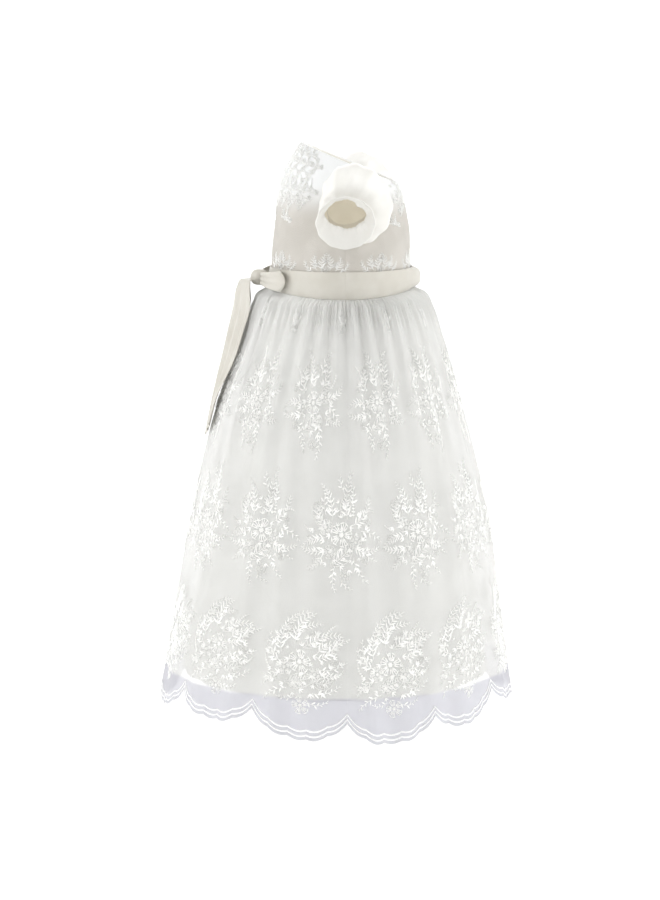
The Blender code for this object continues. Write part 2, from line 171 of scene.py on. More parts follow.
LINING = Profile(
    "along height side front back gather fold",
    (
        (0.00, -0.1500, 0.0825, 0.0755, 0.0815, 0.0, 0.0),
        (0.05, -0.1650, 0.0880, 0.0815, 0.0860, 0.0, 0.0),
        (0.15, -0.1900, 0.0980, 0.0930, 0.0955, 0.0, 0.1),
        (0.30, -0.2450, 0.1150, 0.1070, 0.1120, 0.0, 0.3),
        (0.50, -0.3400, 0.1390, 0.1240, 0.1350, 0.0, 0.5),
        (0.75, -0.4600, 0.1630, 0.1440, 0.1600, 0.0, 0.6),
        (1.00, -0.5900, 0.1820, 0.1655, 0.1860, 0.0, 0.7),
    ),
)
SLEEVE = Profile(
    "along out ahead height depth rise tilt gather",
    (
        (0.00, 0.0850, 0.0065, -0.0520, 0.0345, 0.0360, 0, 0.0),
        (0.14, 0.0900, 0.0085, -0.0510, 0.0375, 0.0400, 2, 0.0012),
        (0.34, 0.1030, 0.0105, -0.0510, 0.0395, 0.0460, 8, 0.0009),
        (0.54, 0.1170, 0.0085, -0.0535, 0.0380, 0.0440, 16, 0.0009),
        (0.70, 0.1260, 0.0030, -0.0570, 0.0310, 0.0325, 25, 0.0009),
        (0.80, 0.1280, -0.0005, -0.0590, 0.0235, 0.0205, 31, 0.0004),
        (0.90, 0.1335, -0.0005, -0.0625, 0.0270, 0.0275, 32, 0.0003),
        (1.00, 0.1400, -0.0010, -0.0680, 0.0325, 0.0360, 33, 0.0004),
    ),
)
TAIL = Profile(
    "along aside behind height half_width turn",
    (
        (0.00, 0.0050, 0.1050, -0.1425, 0.0056, 35),
        (0.04, 0.0085, 0.1112, -0.1412, 0.0085, 38),
        (0.10, 0.0125, 0.1145, -0.1500, 0.0120, 38),
        (0.20, 0.0170, 0.1160, -0.1690, 0.0160, 36),
        (0.38, 0.0200, 0.1238, -0.2000, 0.0175, 30),
        (0.55, 0.0215, 0.1316, -0.2277, 0.0185, 24),
        (0.70, 0.0225, 0.1398, -0.2520, 0.0190, 18),
        (0.85, 0.0235, 0.1486, -0.2790, 0.0195, 11),
        (1.00, 0.0245, 0.1560, -0.3100, 0.0200, 8),
    ),
)
TUCKS = Profile(
    "angle width depth",
    (
        (45, 22, 0.0050),
        (150, 14, 0.0012),
        (205, 15, 0.0014),
        (245, 18, 0.0018),
        (314, 18, 0.0022),
    ),
)
RIPPLES = Profile(
    "middle width height waves sway sways",
    (
        (0.12, 0.12, 0.0008, 31, 1.5, 3),
        (0.79, 0.09, 0.0003, 34, 2.0, 2),
    ),
)
MAIN_FOLDS = Profile(
    "turn width depth start sway",
    (
        (8, 5.0, 0.0045, 0.10, 1),
        (25, 6.0, 0.0060, 0.05, -2),
        (44, 5.0, 0.0050, 0.15, 3),
        (59, 4.5, 0.0060, 0.05, 1),
        (72, 4.0, 0.0045, 0.20, -3),
        (84, 4.0, 0.0070, 0.05, -2),
        (99, 5.0, 0.0060, 0.10, 2),
        (112, 4.0, 0.0045, 0.20, 1),
        (124, 5.0, 0.0060, 0.05, 4),
        (141, 5.5, 0.0050, 0.15, 2),
        (158, 5.0, 0.0035, 0.10, 1),
        (176, 4.5, 0.0020, 0.40, 2),
        (192, 5.0, 0.0020, 0.30, -2),
        (209, 5.0, 0.0045, 0.10, -1),
        (226, 5.5, 0.0055, 0.05, -3),
        (240, 4.0, 0.0045, 0.20, 2),
        (254, 5.0, 0.0065, 0.10, -1),
        (267, 4.0, 0.0045, 0.15, 1),
        (279, 4.5, 0.0060, 0.05, -2),
        (295, 5.0, 0.0050, 0.20, 2),
        (310, 5.0, 0.0060, 0.10, -1),
        (327, 5.5, 0.0050, 0.05, 2),
        (345, 5.0, 0.0045, 0.15, -1),
    ),
)


@dataclass(frozen=True)
class GownForm:
    """The gown's surfaces, each a function of two parameters that gives points in metres."""

    scallops: int = 12
    lobes: int = 5
    scallop_depth: float = 0.038
    lobe_depth: float = 0.004
    scallop_start: float = 0.80
    scallop_power: float = 2.4
    gathers: int = 36
    gather_drift: float = 0.6
    fine_gathers: int = 132
    fine_gather_depth: float = 0.0017
    fine_gather_drift: float = 2.2
    fine_gather_fade: tuple[float, float] = (0.02, 0.16)
    fold_run: float = 0.5
    armhole_middle: float = 0.60
    armhole_reach: float = 0.24
    armhole_front: float = radians(28)
    armhole_back: float = radians(16)
    band_top: float = -0.1265
    band_bottom: float = -0.1505
    band_side_dip: float = 0.0065
    dip_fade: float = 0.25
    band_stand: float = 0.0020
    band_swell: float = 0.0008
    band_billow: float = 0.0090
    billow_width: float = radians(17)
    seam_width: float = 0.0012
    seam_height: float = 0.0003
    knot_height: float = -0.1390
    left_shift: tuple[float, float, float] = (0.0, -0.0315, 0.011)
    hem_sag: float = 0.0085
    hem_lowest: float = radians(80)
    sag_start: float = 0.45
    elastic: float = 0.80
    elastic_reach: float = 0.055
    left_bend: tuple[float, float] = (0.25, 0.80)
    waist_radius: float = 0.08
    band_crease: float = 0.00035
    lining_ripple: float = 0.0008
    sleeve_gathers: int = 12
    drape: float = 0.0016
    armhole_lap: float = 1.04
    armhole_lift: float = 0.0005
    armhole_blend: float = 0.30
    loop_start: float = radians(8)
    loop_reach: float = radians(34)
    loop_rounding: float = 0.16
    loop_near: float = 0.0016
    loop_far: float = 0.0089
    loop_pleat: float = 0.0006
    pleats: float = 2.5
    loop_half_height: tuple[float, float] = (0.0058, 0.0054)
    tail_crease: float = 0.0012
    tail_slant: float = 0.0100

    def seam_ridge(self, turn: Array, seams: tuple[float, ...]) -> Array:
        """How far a surface rises at its seams: a soft bump of the distance to the nearest one.

        Args:
            turn: the angles round the body.
            seams: the turns of the seams.

        Returns:
            The height at each angle.
        """
        away = [np.abs(turned_by(turn, seam)) * self.waist_radius for seam in seams]
        return self.seam_height * bell(np.minimum.reduce(away), self.seam_width)

    def bodice(self, turn: Array, along: Array) -> Array:
        """The bodice: an oval at each height, tilted so that the neckline slopes to the front.

        Args:
            turn: the angles round the body.
            along: 0 at the waist to 1 at the neckline.

        Returns:
            The points of the outside.
        """
        ridge = self.seam_ridge(turn, (SIDE, BACK, -SIDE))
        side, front, back = (BODICE.at(name, along) + ridge for name in ("side", "front", "back"))
        x, y = oval(turn, side, front, back)
        height = BODICE.at("height", along) + BODICE.at("slope", along) * y
        return np.stack([x, y, height], axis=-1)

    def armhole_notch(self, along: Array) -> Array:
        """The armhole's cut into a panel's side: half an ellipse, 1 at its middle height."""
        return np.sqrt(np.clip(1 - ((along - self.armhole_middle) / self.armhole_reach) ** 2, 0, 1))

    def band(self, turn: Array, along: Array) -> Array:
        """The waistband: an oval just outside the waist, looser at the centre front.

        It stands off by band_stand, a swell 4v(1 - v), a bell times 1 - (2v - 1)^4 in front, and
        slanting creases.

        Args:
            turn: the angles round the body.
            along: 0 at the top edge to 1 at the lower edge, which dips at the sides.

        Returns:
            The points of the outside.
        """
        bottom = self.band_bottom - self.band_side_dip * np.sin(turn) ** 2
        creases = self.band_crease * np.sin(9 * along + 2.0 * np.sin(3 * turn)) * np.sin(5 * turn + 1) ** 2
        swell = self.band_swell * 4 * along * (1 - along)
        billow = self.band_billow * bell(turned_by(turn, 0), self.billow_width)
        swell = swell + billow * (1 - (2 * along - 1) ** 4)
        stand = self.band_stand + swell + creases + self.seam_ridge(turn, (SIDE, -SIDE))
        waist = np.zeros_like(turn)
        sizes = (BODICE.at(name, waist) + stand for name in ("side", "front", "back"))
        x, y = oval(turn, *sizes)
        return np.stack([x, y, self.band_top + (bottom - self.band_top) * along], axis=-1)

    def main_folds(self, turn: Array, along: Array) -> Array:
        """The skirt's main folds: soft ridges, each a bell across and a smooth step down.

        Args:
            turn: the angles round the body.
            along: 0 at the waist to 1 at the hem.

        Returns:
            How far the folds push each point out.
        """
        push = np.zeros_like(turn)
        for middle, width, depth, start, sway in MAIN_FOLDS.rows:
            away = turned_by(turn, radians(middle) + radians(sway) * along)
            push += depth * bell(away, radians(width)) * smooth(along, start, start + self.fold_run)
        return push

    def hem_rise(self, turn: Array) -> Array:
        """The scalloped hem: |2p - 1|^2.4 over each scallop, and small lobes of |sin|.

        Args:
            turn: the angles round the body.

        Returns:
            How far above its lowest point the hem ends, as a share of the skirt's length.
        """
        part = (turn * self.scallops / FULL) % 1
        lobes = 1 - np.abs(np.sin(pi * self.lobes * part))
        scallop = self.scallop_depth * np.abs(2 * part - 1) ** self.scallop_power
        return scallop + self.lobe_depth * lobes

    def skirt_ring(self, table: Profile, turn: Array, along: Array, push: Array) -> Array:
        """A ring of a skirt: an oval under the band's dipping edge, pushed out from the axis.

        Args:
            table: the skirt's sizes.
            turn: the angles round the body.
            along: 0 at the waist to 1 at the hem.
            push: how far each point is pushed out.

        Returns:
            The points.
        """
        sizes = (table.at(name, along) for name in ("side", "front", "back"))
        x, y = oval(turn, *sizes)
        dip = self.band_side_dip * np.sin(turn) ** 2 * (1 - smooth(along, 0, self.dip_fade))
        x, y = x - push * np.sin(turn), y - push * np.cos(turn)
        return np.stack([x, y, table.at("height", along) - dip], axis=-1)

    def net(self, turn: Array, along: Array) -> Array:
        """The net skirt down to its scalloped hem: `along` stops short where the hem rises."""
        rise = self.hem_rise(turn) * smooth(along, self.scallop_start, 1.0)
        return self.net_uncut(turn, along - rise)

    def net_uncut(self, turn: Array, along: Array) -> Array:
        """The net skirt as if its hem were level: gathers of two sizes, and the main folds.

        Args:
            turn: the angles round the body.
            along: 0 at the waist to 1 at the hem.

        Returns:
            The points of the outside.
        """
        gathers = -np.cos(self.gathers * turn + self.gather_drift * np.sin(4 * turn))
        fine = np.cos(self.fine_gathers * turn + self.fine_gather_drift * np.sin(7 * turn))
        fine = fine * self.fine_gather_depth * (1 - smooth(along, *self.fine_gather_fade))
        push = NET.at("gather", along) * gathers + fine
        push = push + NET.at("fold", along) * self.main_folds(turn, along)
        points = self.skirt_ring(NET, turn, along, push)
        sag = self.hem_sag * np.cos(3 * turned_by(turn, self.hem_lowest)) * smooth(along, self.sag_start, 1.0)
        return points - sag[..., None] * np.array([0, 0, 1])

    def lining(self, turn: Array, along: Array) -> Array:
        """The lining skirt: it follows the net's main folds more softly.

        Args:
            turn: the angles round the body.
            along: 0 at the waist to 1 at the hem.

        Returns:
            The points of the outside.
        """
        push = LINING.at("fold", along) * self.main_folds(turn, along)
        soft = self.lining_ripple * np.sin(17 * turn + 3 * along) * smooth(along, 0.1, 0.6)
        return self.skirt_ring(LINING, turn, along, push + soft)

    def armhole(self, angle: Array) -> Array:
        """A line just outside the bodice round the right armhole: an ellipse in turn and along.

        Args:
            angle: 0 in front, 90 degrees above.

        Returns:
            The points of the line.
        """
        lap = self.armhole_lap
        reach = np.where(np.cos(angle) > 0, self.armhole_front, self.armhole_back) * lap
        turn = SIDE - reach * np.cos(angle)
        along = self.armhole_middle + self.armhole_reach * lap * np.sin(angle)
        return lifted(self.bodice, turn, along, -self.armhole_lift)

    def sleeve_ring(self, angle: Array, along: Array) -> Array:
        """A ring of the right sleeve: an oval with gathers, tilted down as it leaves the body.

        Args:
            angle: 0 in front, 90 degrees above.
            along: 0 at the armhole to 1 at the flounce's edge.

        Returns:
            The points of the outside.
        """
        ripple = SLEEVE.at("gather", along) * np.cos(self.sleeve_gathers * angle)
        for middle, width, height, waves, sway, sways in RIPPLES.rows:
            phase = waves * angle + sway * np.sin(sways * angle)
            ripple = ripple + height * np.cos(phase) * bell(along - middle, width)
        drape = self.drape * np.sin(3 * angle + 5 * along) * bell(along - 0.5, 0.28)
        ripple = ripple + drape - self.elastic_tucks(angle, along)
        depth = SLEEVE.at("depth", along) + ripple
        rise = (SLEEVE.at("rise", along) + ripple) * np.sin(angle)
        tilt = np.radians(SLEEVE.at("tilt", along))
        x = -SLEEVE.at("out", along) - rise * np.sin(tilt)
        y = -SLEEVE.at("ahead", along) - depth * np.cos(angle)
        return np.stack([x, y, SLEEVE.at("height", along) + rise * np.cos(tilt)], axis=-1)

    def elastic_tucks(self, angle: Array, along: Array) -> Array:
        """How far the elastic's uneven tucks draw the sleeve in: a bell each way from each tuck.

        Args:
            angle: 0 in front, 90 degrees above.
            along: 0 at the armhole to 1 at the flounce's edge.

        Returns:
            The depth of the tucks.
        """
        tucks = [
            depth * bell(turned_by(angle, radians(middle)), radians(width))
            for middle, width, depth in TUCKS.rows
        ]
        return np.add.reduce(tucks) * bell(along - self.elastic, self.elastic_reach)

    def sleeve(self, angle: Array, along: Array) -> Array:
        """The right sleeve: its rings, moved so that the first one lies on the armhole's line."""
        start = self.armhole(angle) - self.sleeve_ring(angle, np.zeros_like(angle))
        return self.sleeve_ring(angle, along) + start * (1 - smooth(along, 0, self.armhole_blend))[..., None]

    def left_sleeve(self, angle: Array, along: Array) -> Array:
        """The left sleeve: the right one's mirror, held a little further forward and up."""
        shift = smooth(along, *self.left_bend)[..., None] * np.array(self.left_shift)
        return mirrored(self.sleeve)(angle, along) + shift

    def loop(self, path: Array, across: Array) -> Array:
        """The bow's right loop: out along the band by the sine of the path, round and back.

        Args:
            path: 0 at the knot's near side to 1 at its far side.
            across: -1 at the lower edge to 1 at the upper one.

        Returns:
            The points of the outside.
        """
        out = np.sin(pi * path)
        reach = self.loop_reach * out * (1 - self.loop_rounding * across * across)
        turn = BACK - self.loop_start - reach
        stand = self.loop_near + self.loop_far * (1 - np.cos(pi * path)) / 2
        pleat = self.loop_pleat * np.cos(self.pleats * pi * across + 1.0) * (1 - 0.5 * out)
        away = self.band_stand + self.band_swell + stand + pleat * smooth(path, 0.5, 0.7)
        waist = np.zeros_like(path)
        x, y = oval(turn, *(BODICE.at(name, waist) + away for name in ("side", "front", "back")))
        narrow, growth = self.loop_half_height
        half_height = narrow + growth * out
        return np.stack([x, y, self.knot_height + half_height * across], axis=-1)

    def tail(self, across: Array, along: Array) -> Array:
        """The bow's right tail: lines across a falling path, with a lengthwise crease.

        Args:
            across: -1 at the inner edge to 1 at the outer one.
            along: 0 at the knot to 1 at the slanting end.

        Returns:
            The points of the outside.
        """
        half_width = TAIL.at("half_width", along)
        turn = np.radians(TAIL.at("turn", along))
        crease = self.tail_crease * np.cos(self.pleats * pi * across) * smooth(along, 0, 0.3)
        x = -TAIL.at("aside", along) - half_width * across * np.cos(turn) - crease * np.sin(turn)
        y = TAIL.at("behind", along) - half_width * across * np.sin(turn) + crease * np.cos(turn)
        slant = self.tail_slant * across * smooth(along, 0.5, 1.0)
        return np.stack([x, y, TAIL.at("height", along) + slant], axis=-1)


def lifted(surface: Surface, u: Array, v: Array, lift: Array | float) -> Array:
    """Points moved off a surface, along the cross product of its two directions.

    Args:
        surface: the surface.
        u: the first parameter.
        v: the second parameter.
        lift: how far, in the direction of u cross v.

    Returns:
        The moved points.
    """
    over_u = surface(u + STEP, v) - surface(u - STEP, v)
    over_v = surface(u, v + STEP) - surface(u, v - STEP)
    normal = np.cross(over_u, over_v)
    normal /= np.linalg.norm(normal, axis=-1, keepdims=True)
    return surface(u, v) + normal * np.asarray(lift)[..., None]


def mirrored(surface: Surface) -> Surface:
    """The same surface on the wearer's left side."""
    return lambda u, v: surface(u, v) * np.array([-1, 1, 1])


def grid_quads(index: Array) -> Array:
    """The quads of a grid of point numbers, facing along u cross v.

    Args:
        index: the point numbers, in rows of v and columns of u.

    Returns:
        Four point numbers a quad.
    """
    corners = (index[:-1, :-1], index[:-1, 1:], index[1:, 1:], index[1:, :-1])
    return np.stack(corners, axis=-1).reshape(-1, 4)


def numbered(points: Array, ring: bool, first: int = 0) -> Array:
    """The numbers of a grid's points; on a ring the first column comes again at the end.

    Args:
        points: the grid's points, in rows of v.
        ring: whether the grid goes all the way round.
        first: the number of its first point.

    Returns:
        The point numbers, in rows of v and columns of u.
    """
    index = np.arange(points[..., 0].size).reshape(points.shape[:2]) + first
    return np.concatenate([index, index[:, :1]], axis=1) if ring else index


def spacing(points: Array) -> Array:
    """Cloth coordinates in metres: the longest steps across and the mean steps down, summed.

    Args:
        points: the grid's points, in rows of v.

    Returns:
        Two coordinates for each point.
    """
    across = np.linalg.norm(np.diff(points, axis=1), axis=-1).max(axis=0)
    down = np.linalg.norm(np.diff(points, axis=0), axis=-1).mean(axis=1)
    s = np.concatenate([[0], np.cumsum(across)])
    t = np.concatenate([[0], np.cumsum(down)])
    return np.stack(np.broadcast_arrays(s[None, :], t[:, None]), axis=-1)


def add_piece(
    name: str, points: Array, faces: Array, uv: Array, finishes: list, slots: Array
) -> bpy.types.Object:
    """A smooth-shaded mesh object at the origin, with cloth coordinates in metres.

    Args:
        name: the piece's name.
        points: its points.
        faces: its faces.
        uv: the cloth coordinates of each point.
        finishes: its materials.
        slots: which material each face takes.

    Returns:
        The object.
    """
    mesh = bpy.data.meshes.new(name)
    mesh.from_pydata(points.reshape(-1, 3).tolist(), [], faces.tolist())
    layer = mesh.uv_layers.new(name="cloth")
    layer.data.foreach_set("uv", uv.reshape(-1, 2)[faces.ravel()].astype(np.float32).ravel())
    for finish in finishes:
        mesh.materials.append(finish)
    mesh.polygons.foreach_set("material_index", np.broadcast_to(slots, len(faces)).astype(np.int32))
    mesh.shade_smooth()
    mesh.set_sharp_from_angle(angle=SHARP_EDGE)
    mesh.update()
    piece = bpy.data.objects.new(name, mesh)
    bpy.context.scene.collection.objects.link(piece)
    return piece


@dataclass(frozen=True)
class Cut:
    """How one piece of cloth is cut and held: its flat width and length, and its flat area."""

    width: float
    length: float
    area: float
    held: str


@dataclass(frozen=True)
class ClothPiece:
    """A piece of cloth on a surface, with a thickness or as a single layer."""

    name: str
    node: str
    surface: Surface
    sign: int
    wall: float
    slot: str
    cut: Cut
    ring: bool = False
    facing_out: float = 2.0

    def build(self, u: Array, v: Array, finishes: list) -> bpy.types.Object:
        """The cloth: the surface, the same points moved inwards by the wall, and a rim.

        Args:
            u: the grid's first parameter, in rows of v.
            v: the grid's second parameter.
            finishes: the outside's material, and the inside's if it differs (painted shade and glow).

        Returns:
            The object, which stands for its node.
        """
        outer = self.surface(u, v)
        index = numbered(outer, self.ring)
        uv = spacing(outer)
        faces, points, slots = [grid_quads(index)], [outer.reshape(-1, 3)], [0]
        if self.wall:
            inner = lifted(self.surface, u, v, -self.wall * self.sign)
            under = index + u.size
            points.append(inner.reshape(-1, 3))
            faces.append(grid_quads(under)[:, ::-1])
            faces.append(grid_quads(np.stack([under[0], index[0]])))
            faces.append(grid_quads(np.stack([index[-1], under[-1]])))
            # Inner-wall faces short of facing_out take the last finish: the inside, with painted shade and
            # glow.
            in_painted_shade = v.ravel()[grid_quads(index)].mean(axis=1) < self.facing_out
            slots += [np.where(in_painted_shade, len(finishes) - 1, 0), 0, 0]
            if not self.ring:
                faces.append(grid_quads(np.stack([under[:, 0], index[:, 0]], axis=1)))
                faces.append(grid_quads(np.stack([index[:, -1], under[:, -1]], axis=1)))
                slots += [0, 0]
        chosen = np.concatenate([np.full(len(part), slot) for part, slot in zip(faces, slots)])
        faces = np.concatenate(faces)
        uv = np.concatenate([uv.reshape(-1, 2)] * len(points))
        points = np.concatenate(points)
        faces = faces if self.sign > 0 else faces[:, ::-1]
        piece = add_piece(self.name, points, faces, uv, finishes, chosen)
        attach(piece, "root")
        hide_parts(self.node)
        return piece

    def declare(self, piece: bpy.types.Object, rests_on: list[str], with_pieces: list) -> None:
        """Does nothing: the cut that the cloth was before it was sewn and held is not stated.

        Args:
            piece: the cloth. Not used.
            rests_on: the nodes or pieces that it hangs from or lies on. Not used.
            with_pieces: the separate pieces on it. Not used.

        Returns:
            Nothing.
        """


class Wire:
    """A shader socket that takes part in Python sums: each operator adds its Math node."""

    def __init__(self, tree: bpy.types.NodeTree, socket: bpy.types.NodeSocket) -> None:
        """Wraps a socket of a node tree."""
        self.tree, self.socket = tree, socket

    def math(self, operation: str, *others: "Wire | float", first: "float | None" = None) -> "Wire":
        """One Math node.

        Args:
            operation: the node's operation.
            others: the values after this one.
            first: a number that stands before this one, for reflected operators.

        Returns:
            The node's result.
        """
        node = self.tree.nodes.new("ShaderNodeMath")
        node.operation = operation
        values = [self, *others] if first is None else [first, self]
        for socket, value in zip(node.inputs, values):
            plug(self.tree, socket, value)
        return Wire(self.tree, node.outputs[0])

    def __add__(self, other: "Wire | float") -> "Wire":
        """The sum."""
        return self.math("ADD", other)

    def __sub__(self, other: "Wire | float") -> "Wire":
        """The difference."""
        return self.math("SUBTRACT", other)

    def __mul__(self, other: "Wire | float") -> "Wire":
        """The product."""
        return self.math("MULTIPLY", other)

    def __truediv__(self, other: "Wire | float") -> "Wire":
        """The quotient."""
        return self.math("DIVIDE", other)

    def __rsub__(self, other: float) -> "Wire":
        """The difference from a number."""
        return self.math("SUBTRACT", first=other)

    __radd__ = __add__
    __rmul__ = __mul__

    def step(self, low: float, high: float) -> "Wire":
        """A soft step from 0 at `low` to 1 at `high`, from a Map Range node."""
        settings = {"interpolation_type": "SMOOTHSTEP"}
        return add_node(self.tree, "ShaderNodeMapRange", settings, {0: self, 1: low, 2: high})


def plug(tree: bpy.types.NodeTree, socket: bpy.types.NodeSocket, value: "Wire | float | tuple") -> None:
    """Links a wire to a socket, or sets the socket to a number or colour.

    Args:
        tree: the material's node tree.
        socket: the input socket.
        value: the wire, number or colour.

    Returns:
        Nothing.
    """
    if isinstance(value, Wire):
        tree.links.new(value.socket, socket)
    elif isinstance(value, tuple) and socket.type == "RGBA":
        socket.default_value = (*value, 1.0)
    else:
        socket.default_value = value


def add_node(
    tree: bpy.types.NodeTree, kind: str, settings: dict, inputs: dict, output: "int | str" = 0
) -> Wire:
    """Any node: its settings are set first, then its sockets.

    Args:
        tree: the material's node tree.
        kind: the node's type.
        settings: its properties.
        inputs: values or wires for its sockets, by name or number.
        output: which output to return.

    Returns:
        That output.
    """
    node = tree.nodes.new(kind)
    for name, value in settings.items():
        setattr(node, name, value)
    for name, value in inputs.items():
        plug(tree, node.inputs[name], value)
    return Wire(tree, node.outputs[output])


class Pattern(Enum):
    """The cloths' surface patterns."""

    SATIN = "satin weave"
    PLAIN = "plain weave"
    NET = "six-sided net"
    STITCH = "satin stitch"
    LACE = "lace ground"


@dataclass(frozen=True)
class PaintedLightAndShade:
    """Painted light and shade by height: a second colour that a cloth changes to between two heights, and how
    hazy it gets there.
    """

    colour: Colour
    start: float
    end: float
    haze: float = 0.0


@dataclass(frozen=True)
class ClothFinish:
    """A cloth's look: colours, gloss, the pattern that its threads make, and on some cloths painted light,
    painted shade and a painted glow.
    """

    name: str
    pattern: Pattern
    colour: Colour
    shade: Colour
    roughness: float
    sheen: float
    pitch: float
    bump: float
    solid: float = 1.0
    # Painted light and shade by height, where a cloth has it.
    blend: PaintedLightAndShade | None = None
    glow: float = 0.0
    # How strongly the cloth gives off its own colour as a painted glow.
    lit: float = 0.0
    satin_slant: float = 0.35
    net_edges: tuple[float, float] = (-1.3, 0.5)
    cloud_scale: float = 38.0
    cloud_detail: float = 3.0
    cloud_edges: tuple[float, float] = (0.35, 0.70)
    cloud_shade: float = 0.7
    cloud_gloss: float = 0.12
    cloud_relief: float = 0.4
    thread_shade: float = 0.3
    thread_height: float = 0.0003
    lace_relief: float = 2.0
    scroll_scale: float = 210.0
    scroll_smoothness: float = 0.35
    scroll_rings: float = 26.0
    scroll_edge: float = 0.8
    sheen_roughness: float = 0.45
    specular: float = 0.35

    def waves(self, tree: bpy.types.NodeTree) -> tuple[Wire, Wire]:
        """The cloth coordinates as phases: each goes round once in every thread pitch.

        Args:
            tree: the material's node tree.

        Returns:
            The two phases.
        """
        uv = add_node(tree, "ShaderNodeUVMap", {"uv_map": "cloth"}, {})
        parts = tree.nodes.new("ShaderNodeSeparateXYZ")
        tree.links.new(uv.socket, parts.inputs[0])
        turns = 2 * pi / self.pitch
        return Wire(tree, parts.outputs[0]) * turns, Wire(tree, parts.outputs[1]) * turns

    def threads(self, tree: bpy.types.NodeTree) -> Wire:
        """How thick the threads lie, from 0 in a gap to 1 on a thread.

        Satin and stitches are one sine of a slanting phase, plain weave the product of two, and net
        the sum of three cosines 120 degrees apart, which peaks in the middle of each mesh.

        Args:
            tree: the material's node tree.

        Returns:
            The threads' height.
        """
        x, y = self.waves(tree)
        if self.pattern is Pattern.STITCH:
            return x.math("SINE") * 0.5 + 0.5
        if self.pattern is Pattern.SATIN:
            return (x + y * self.satin_slant).math("SINE") * 0.5 + 0.5
        if self.pattern is Pattern.PLAIN:
            return x.math("SINE") * y.math("SINE") * 0.5 + 0.5
        half_x, high_y = x * 0.5, y * (sqrt(3) / 2)
        three = x.math("COSINE") + (high_y - half_x).math("COSINE") + (half_x + high_y).math("COSINE")
        return 1 - three.step(*self.net_edges)

    def build(self) -> bpy.types.Material:
        """The material: thread bumps, soft shade changes, painted light and shade by height, a painted glow,
        and gaps where the cloth is open.

        Returns:
            The material.
        """
        material = bpy.data.materials.new(self.name)
        material.use_nodes = True
        tree = material.node_tree
        shader = tree.nodes["Principled BSDF"]
        threads = self.threads(tree)
        place = add_node(tree, "ShaderNodeTexCoord", {}, {}, "Object")
        cloud = add_node(
            tree, "ShaderNodeTexNoise", {},
            {"Vector": place, "Scale": self.cloud_scale, "Detail": self.cloud_detail},
        )
        worn = cloud.step(*self.cloud_edges)
        colour = add_node(
            tree, "ShaderNodeMix", {"data_type": "RGBA"},
            {0: worn * self.cloud_shade + threads * self.thread_shade, 6: self.shade, 7: self.colour}, 2,
        )
        # A second colour by height: painted light on the bodice and its inside, painted shade on the net
        # below the lining.
        if self.blend:
            height = add_node(tree, "ShaderNodeSeparateXYZ", {}, {"Vector": place}, "Z")
            painted_light_and_shade = height.step(self.blend.start, self.blend.end)
            mix = {0: painted_light_and_shade, 6: colour, 7: self.blend.colour}
            colour = add_node(tree, "ShaderNodeMix", {"data_type": "RGBA"}, mix, 2)
        plug(tree, shader.inputs["Base Color"], colour)
        plug(tree, shader.inputs["Roughness"], self.roughness + (cloud - 0.5) * self.cloud_gloss)
        relief = threads + cloud * self.cloud_relief
        if self.pattern is Pattern.LACE:
            relief = relief + self.lace(tree, place) * self.lace_relief
        bump = add_node(
            tree, "ShaderNodeBump", {},
            {"Strength": self.bump, "Distance": self.thread_height, "Height": relief},
        )
        plug(tree, shader.inputs["Normal"], bump)
        if self.solid < 1:
            cover = threads * (1 - self.solid) + self.solid
            # The net is also more opaque where its painted shade is.
            if self.blend:
                cover = cover + (1 - cover) * painted_light_and_shade * self.blend.haze
            plug(tree, shader.inputs["Alpha"], cover)
        # Painted glow: the cloth's own colour given off as light, though the cloth is no lamp.
        if self.lit:
            plug(tree, shader.inputs["Emission Color"], colour)
            shader.inputs["Emission Strength"].default_value = self.lit
        if self.glow:
            self.let_light_through(tree, shader, colour)
        shader.inputs["Sheen Weight"].default_value = self.sheen
        shader.inputs["Sheen Roughness"].default_value = self.sheen_roughness
        shader.inputs["Specular IOR Level"].default_value = self.specular
        return material

    def let_light_through(self, tree: bpy.types.NodeTree, shader: bpy.types.Node, colour: Wire) -> None:
        """Mixes in a translucent shader, as thin cloth lets some light through.

        Args:
            tree: the material's node tree.
            shader: the cloth's shader.
            colour: the cloth's colour.

        Returns:
            Nothing.
        """
        through = add_node(tree, "ShaderNodeBsdfTranslucent", {}, {"Color": colour})
        opaque = Wire(tree, shader.outputs[0])
        mixed = add_node(tree, "ShaderNodeMixShader", {}, {0: self.glow, 1: opaque, 2: through})
        tree.links.new(mixed.socket, tree.nodes["Material Output"].inputs["Surface"])

    def lace(self, tree: bpy.types.NodeTree, place: Wire) -> Wire:
        """The lace ground's small scrolls: rings of a cell pattern.

        Args:
            tree: the material's node tree.
            place: the coordinates to draw it in.

        Returns:
            The scrolls' height.
        """
        cells = add_node(
            tree, "ShaderNodeTexVoronoi", {"feature": "SMOOTH_F1"},
            {"Vector": place, "Scale": self.scroll_scale, "Smoothness": self.scroll_smoothness},
            "Distance",
        )
        return (cells * self.scroll_rings).math("SINE").step(0.0, self.scroll_edge)


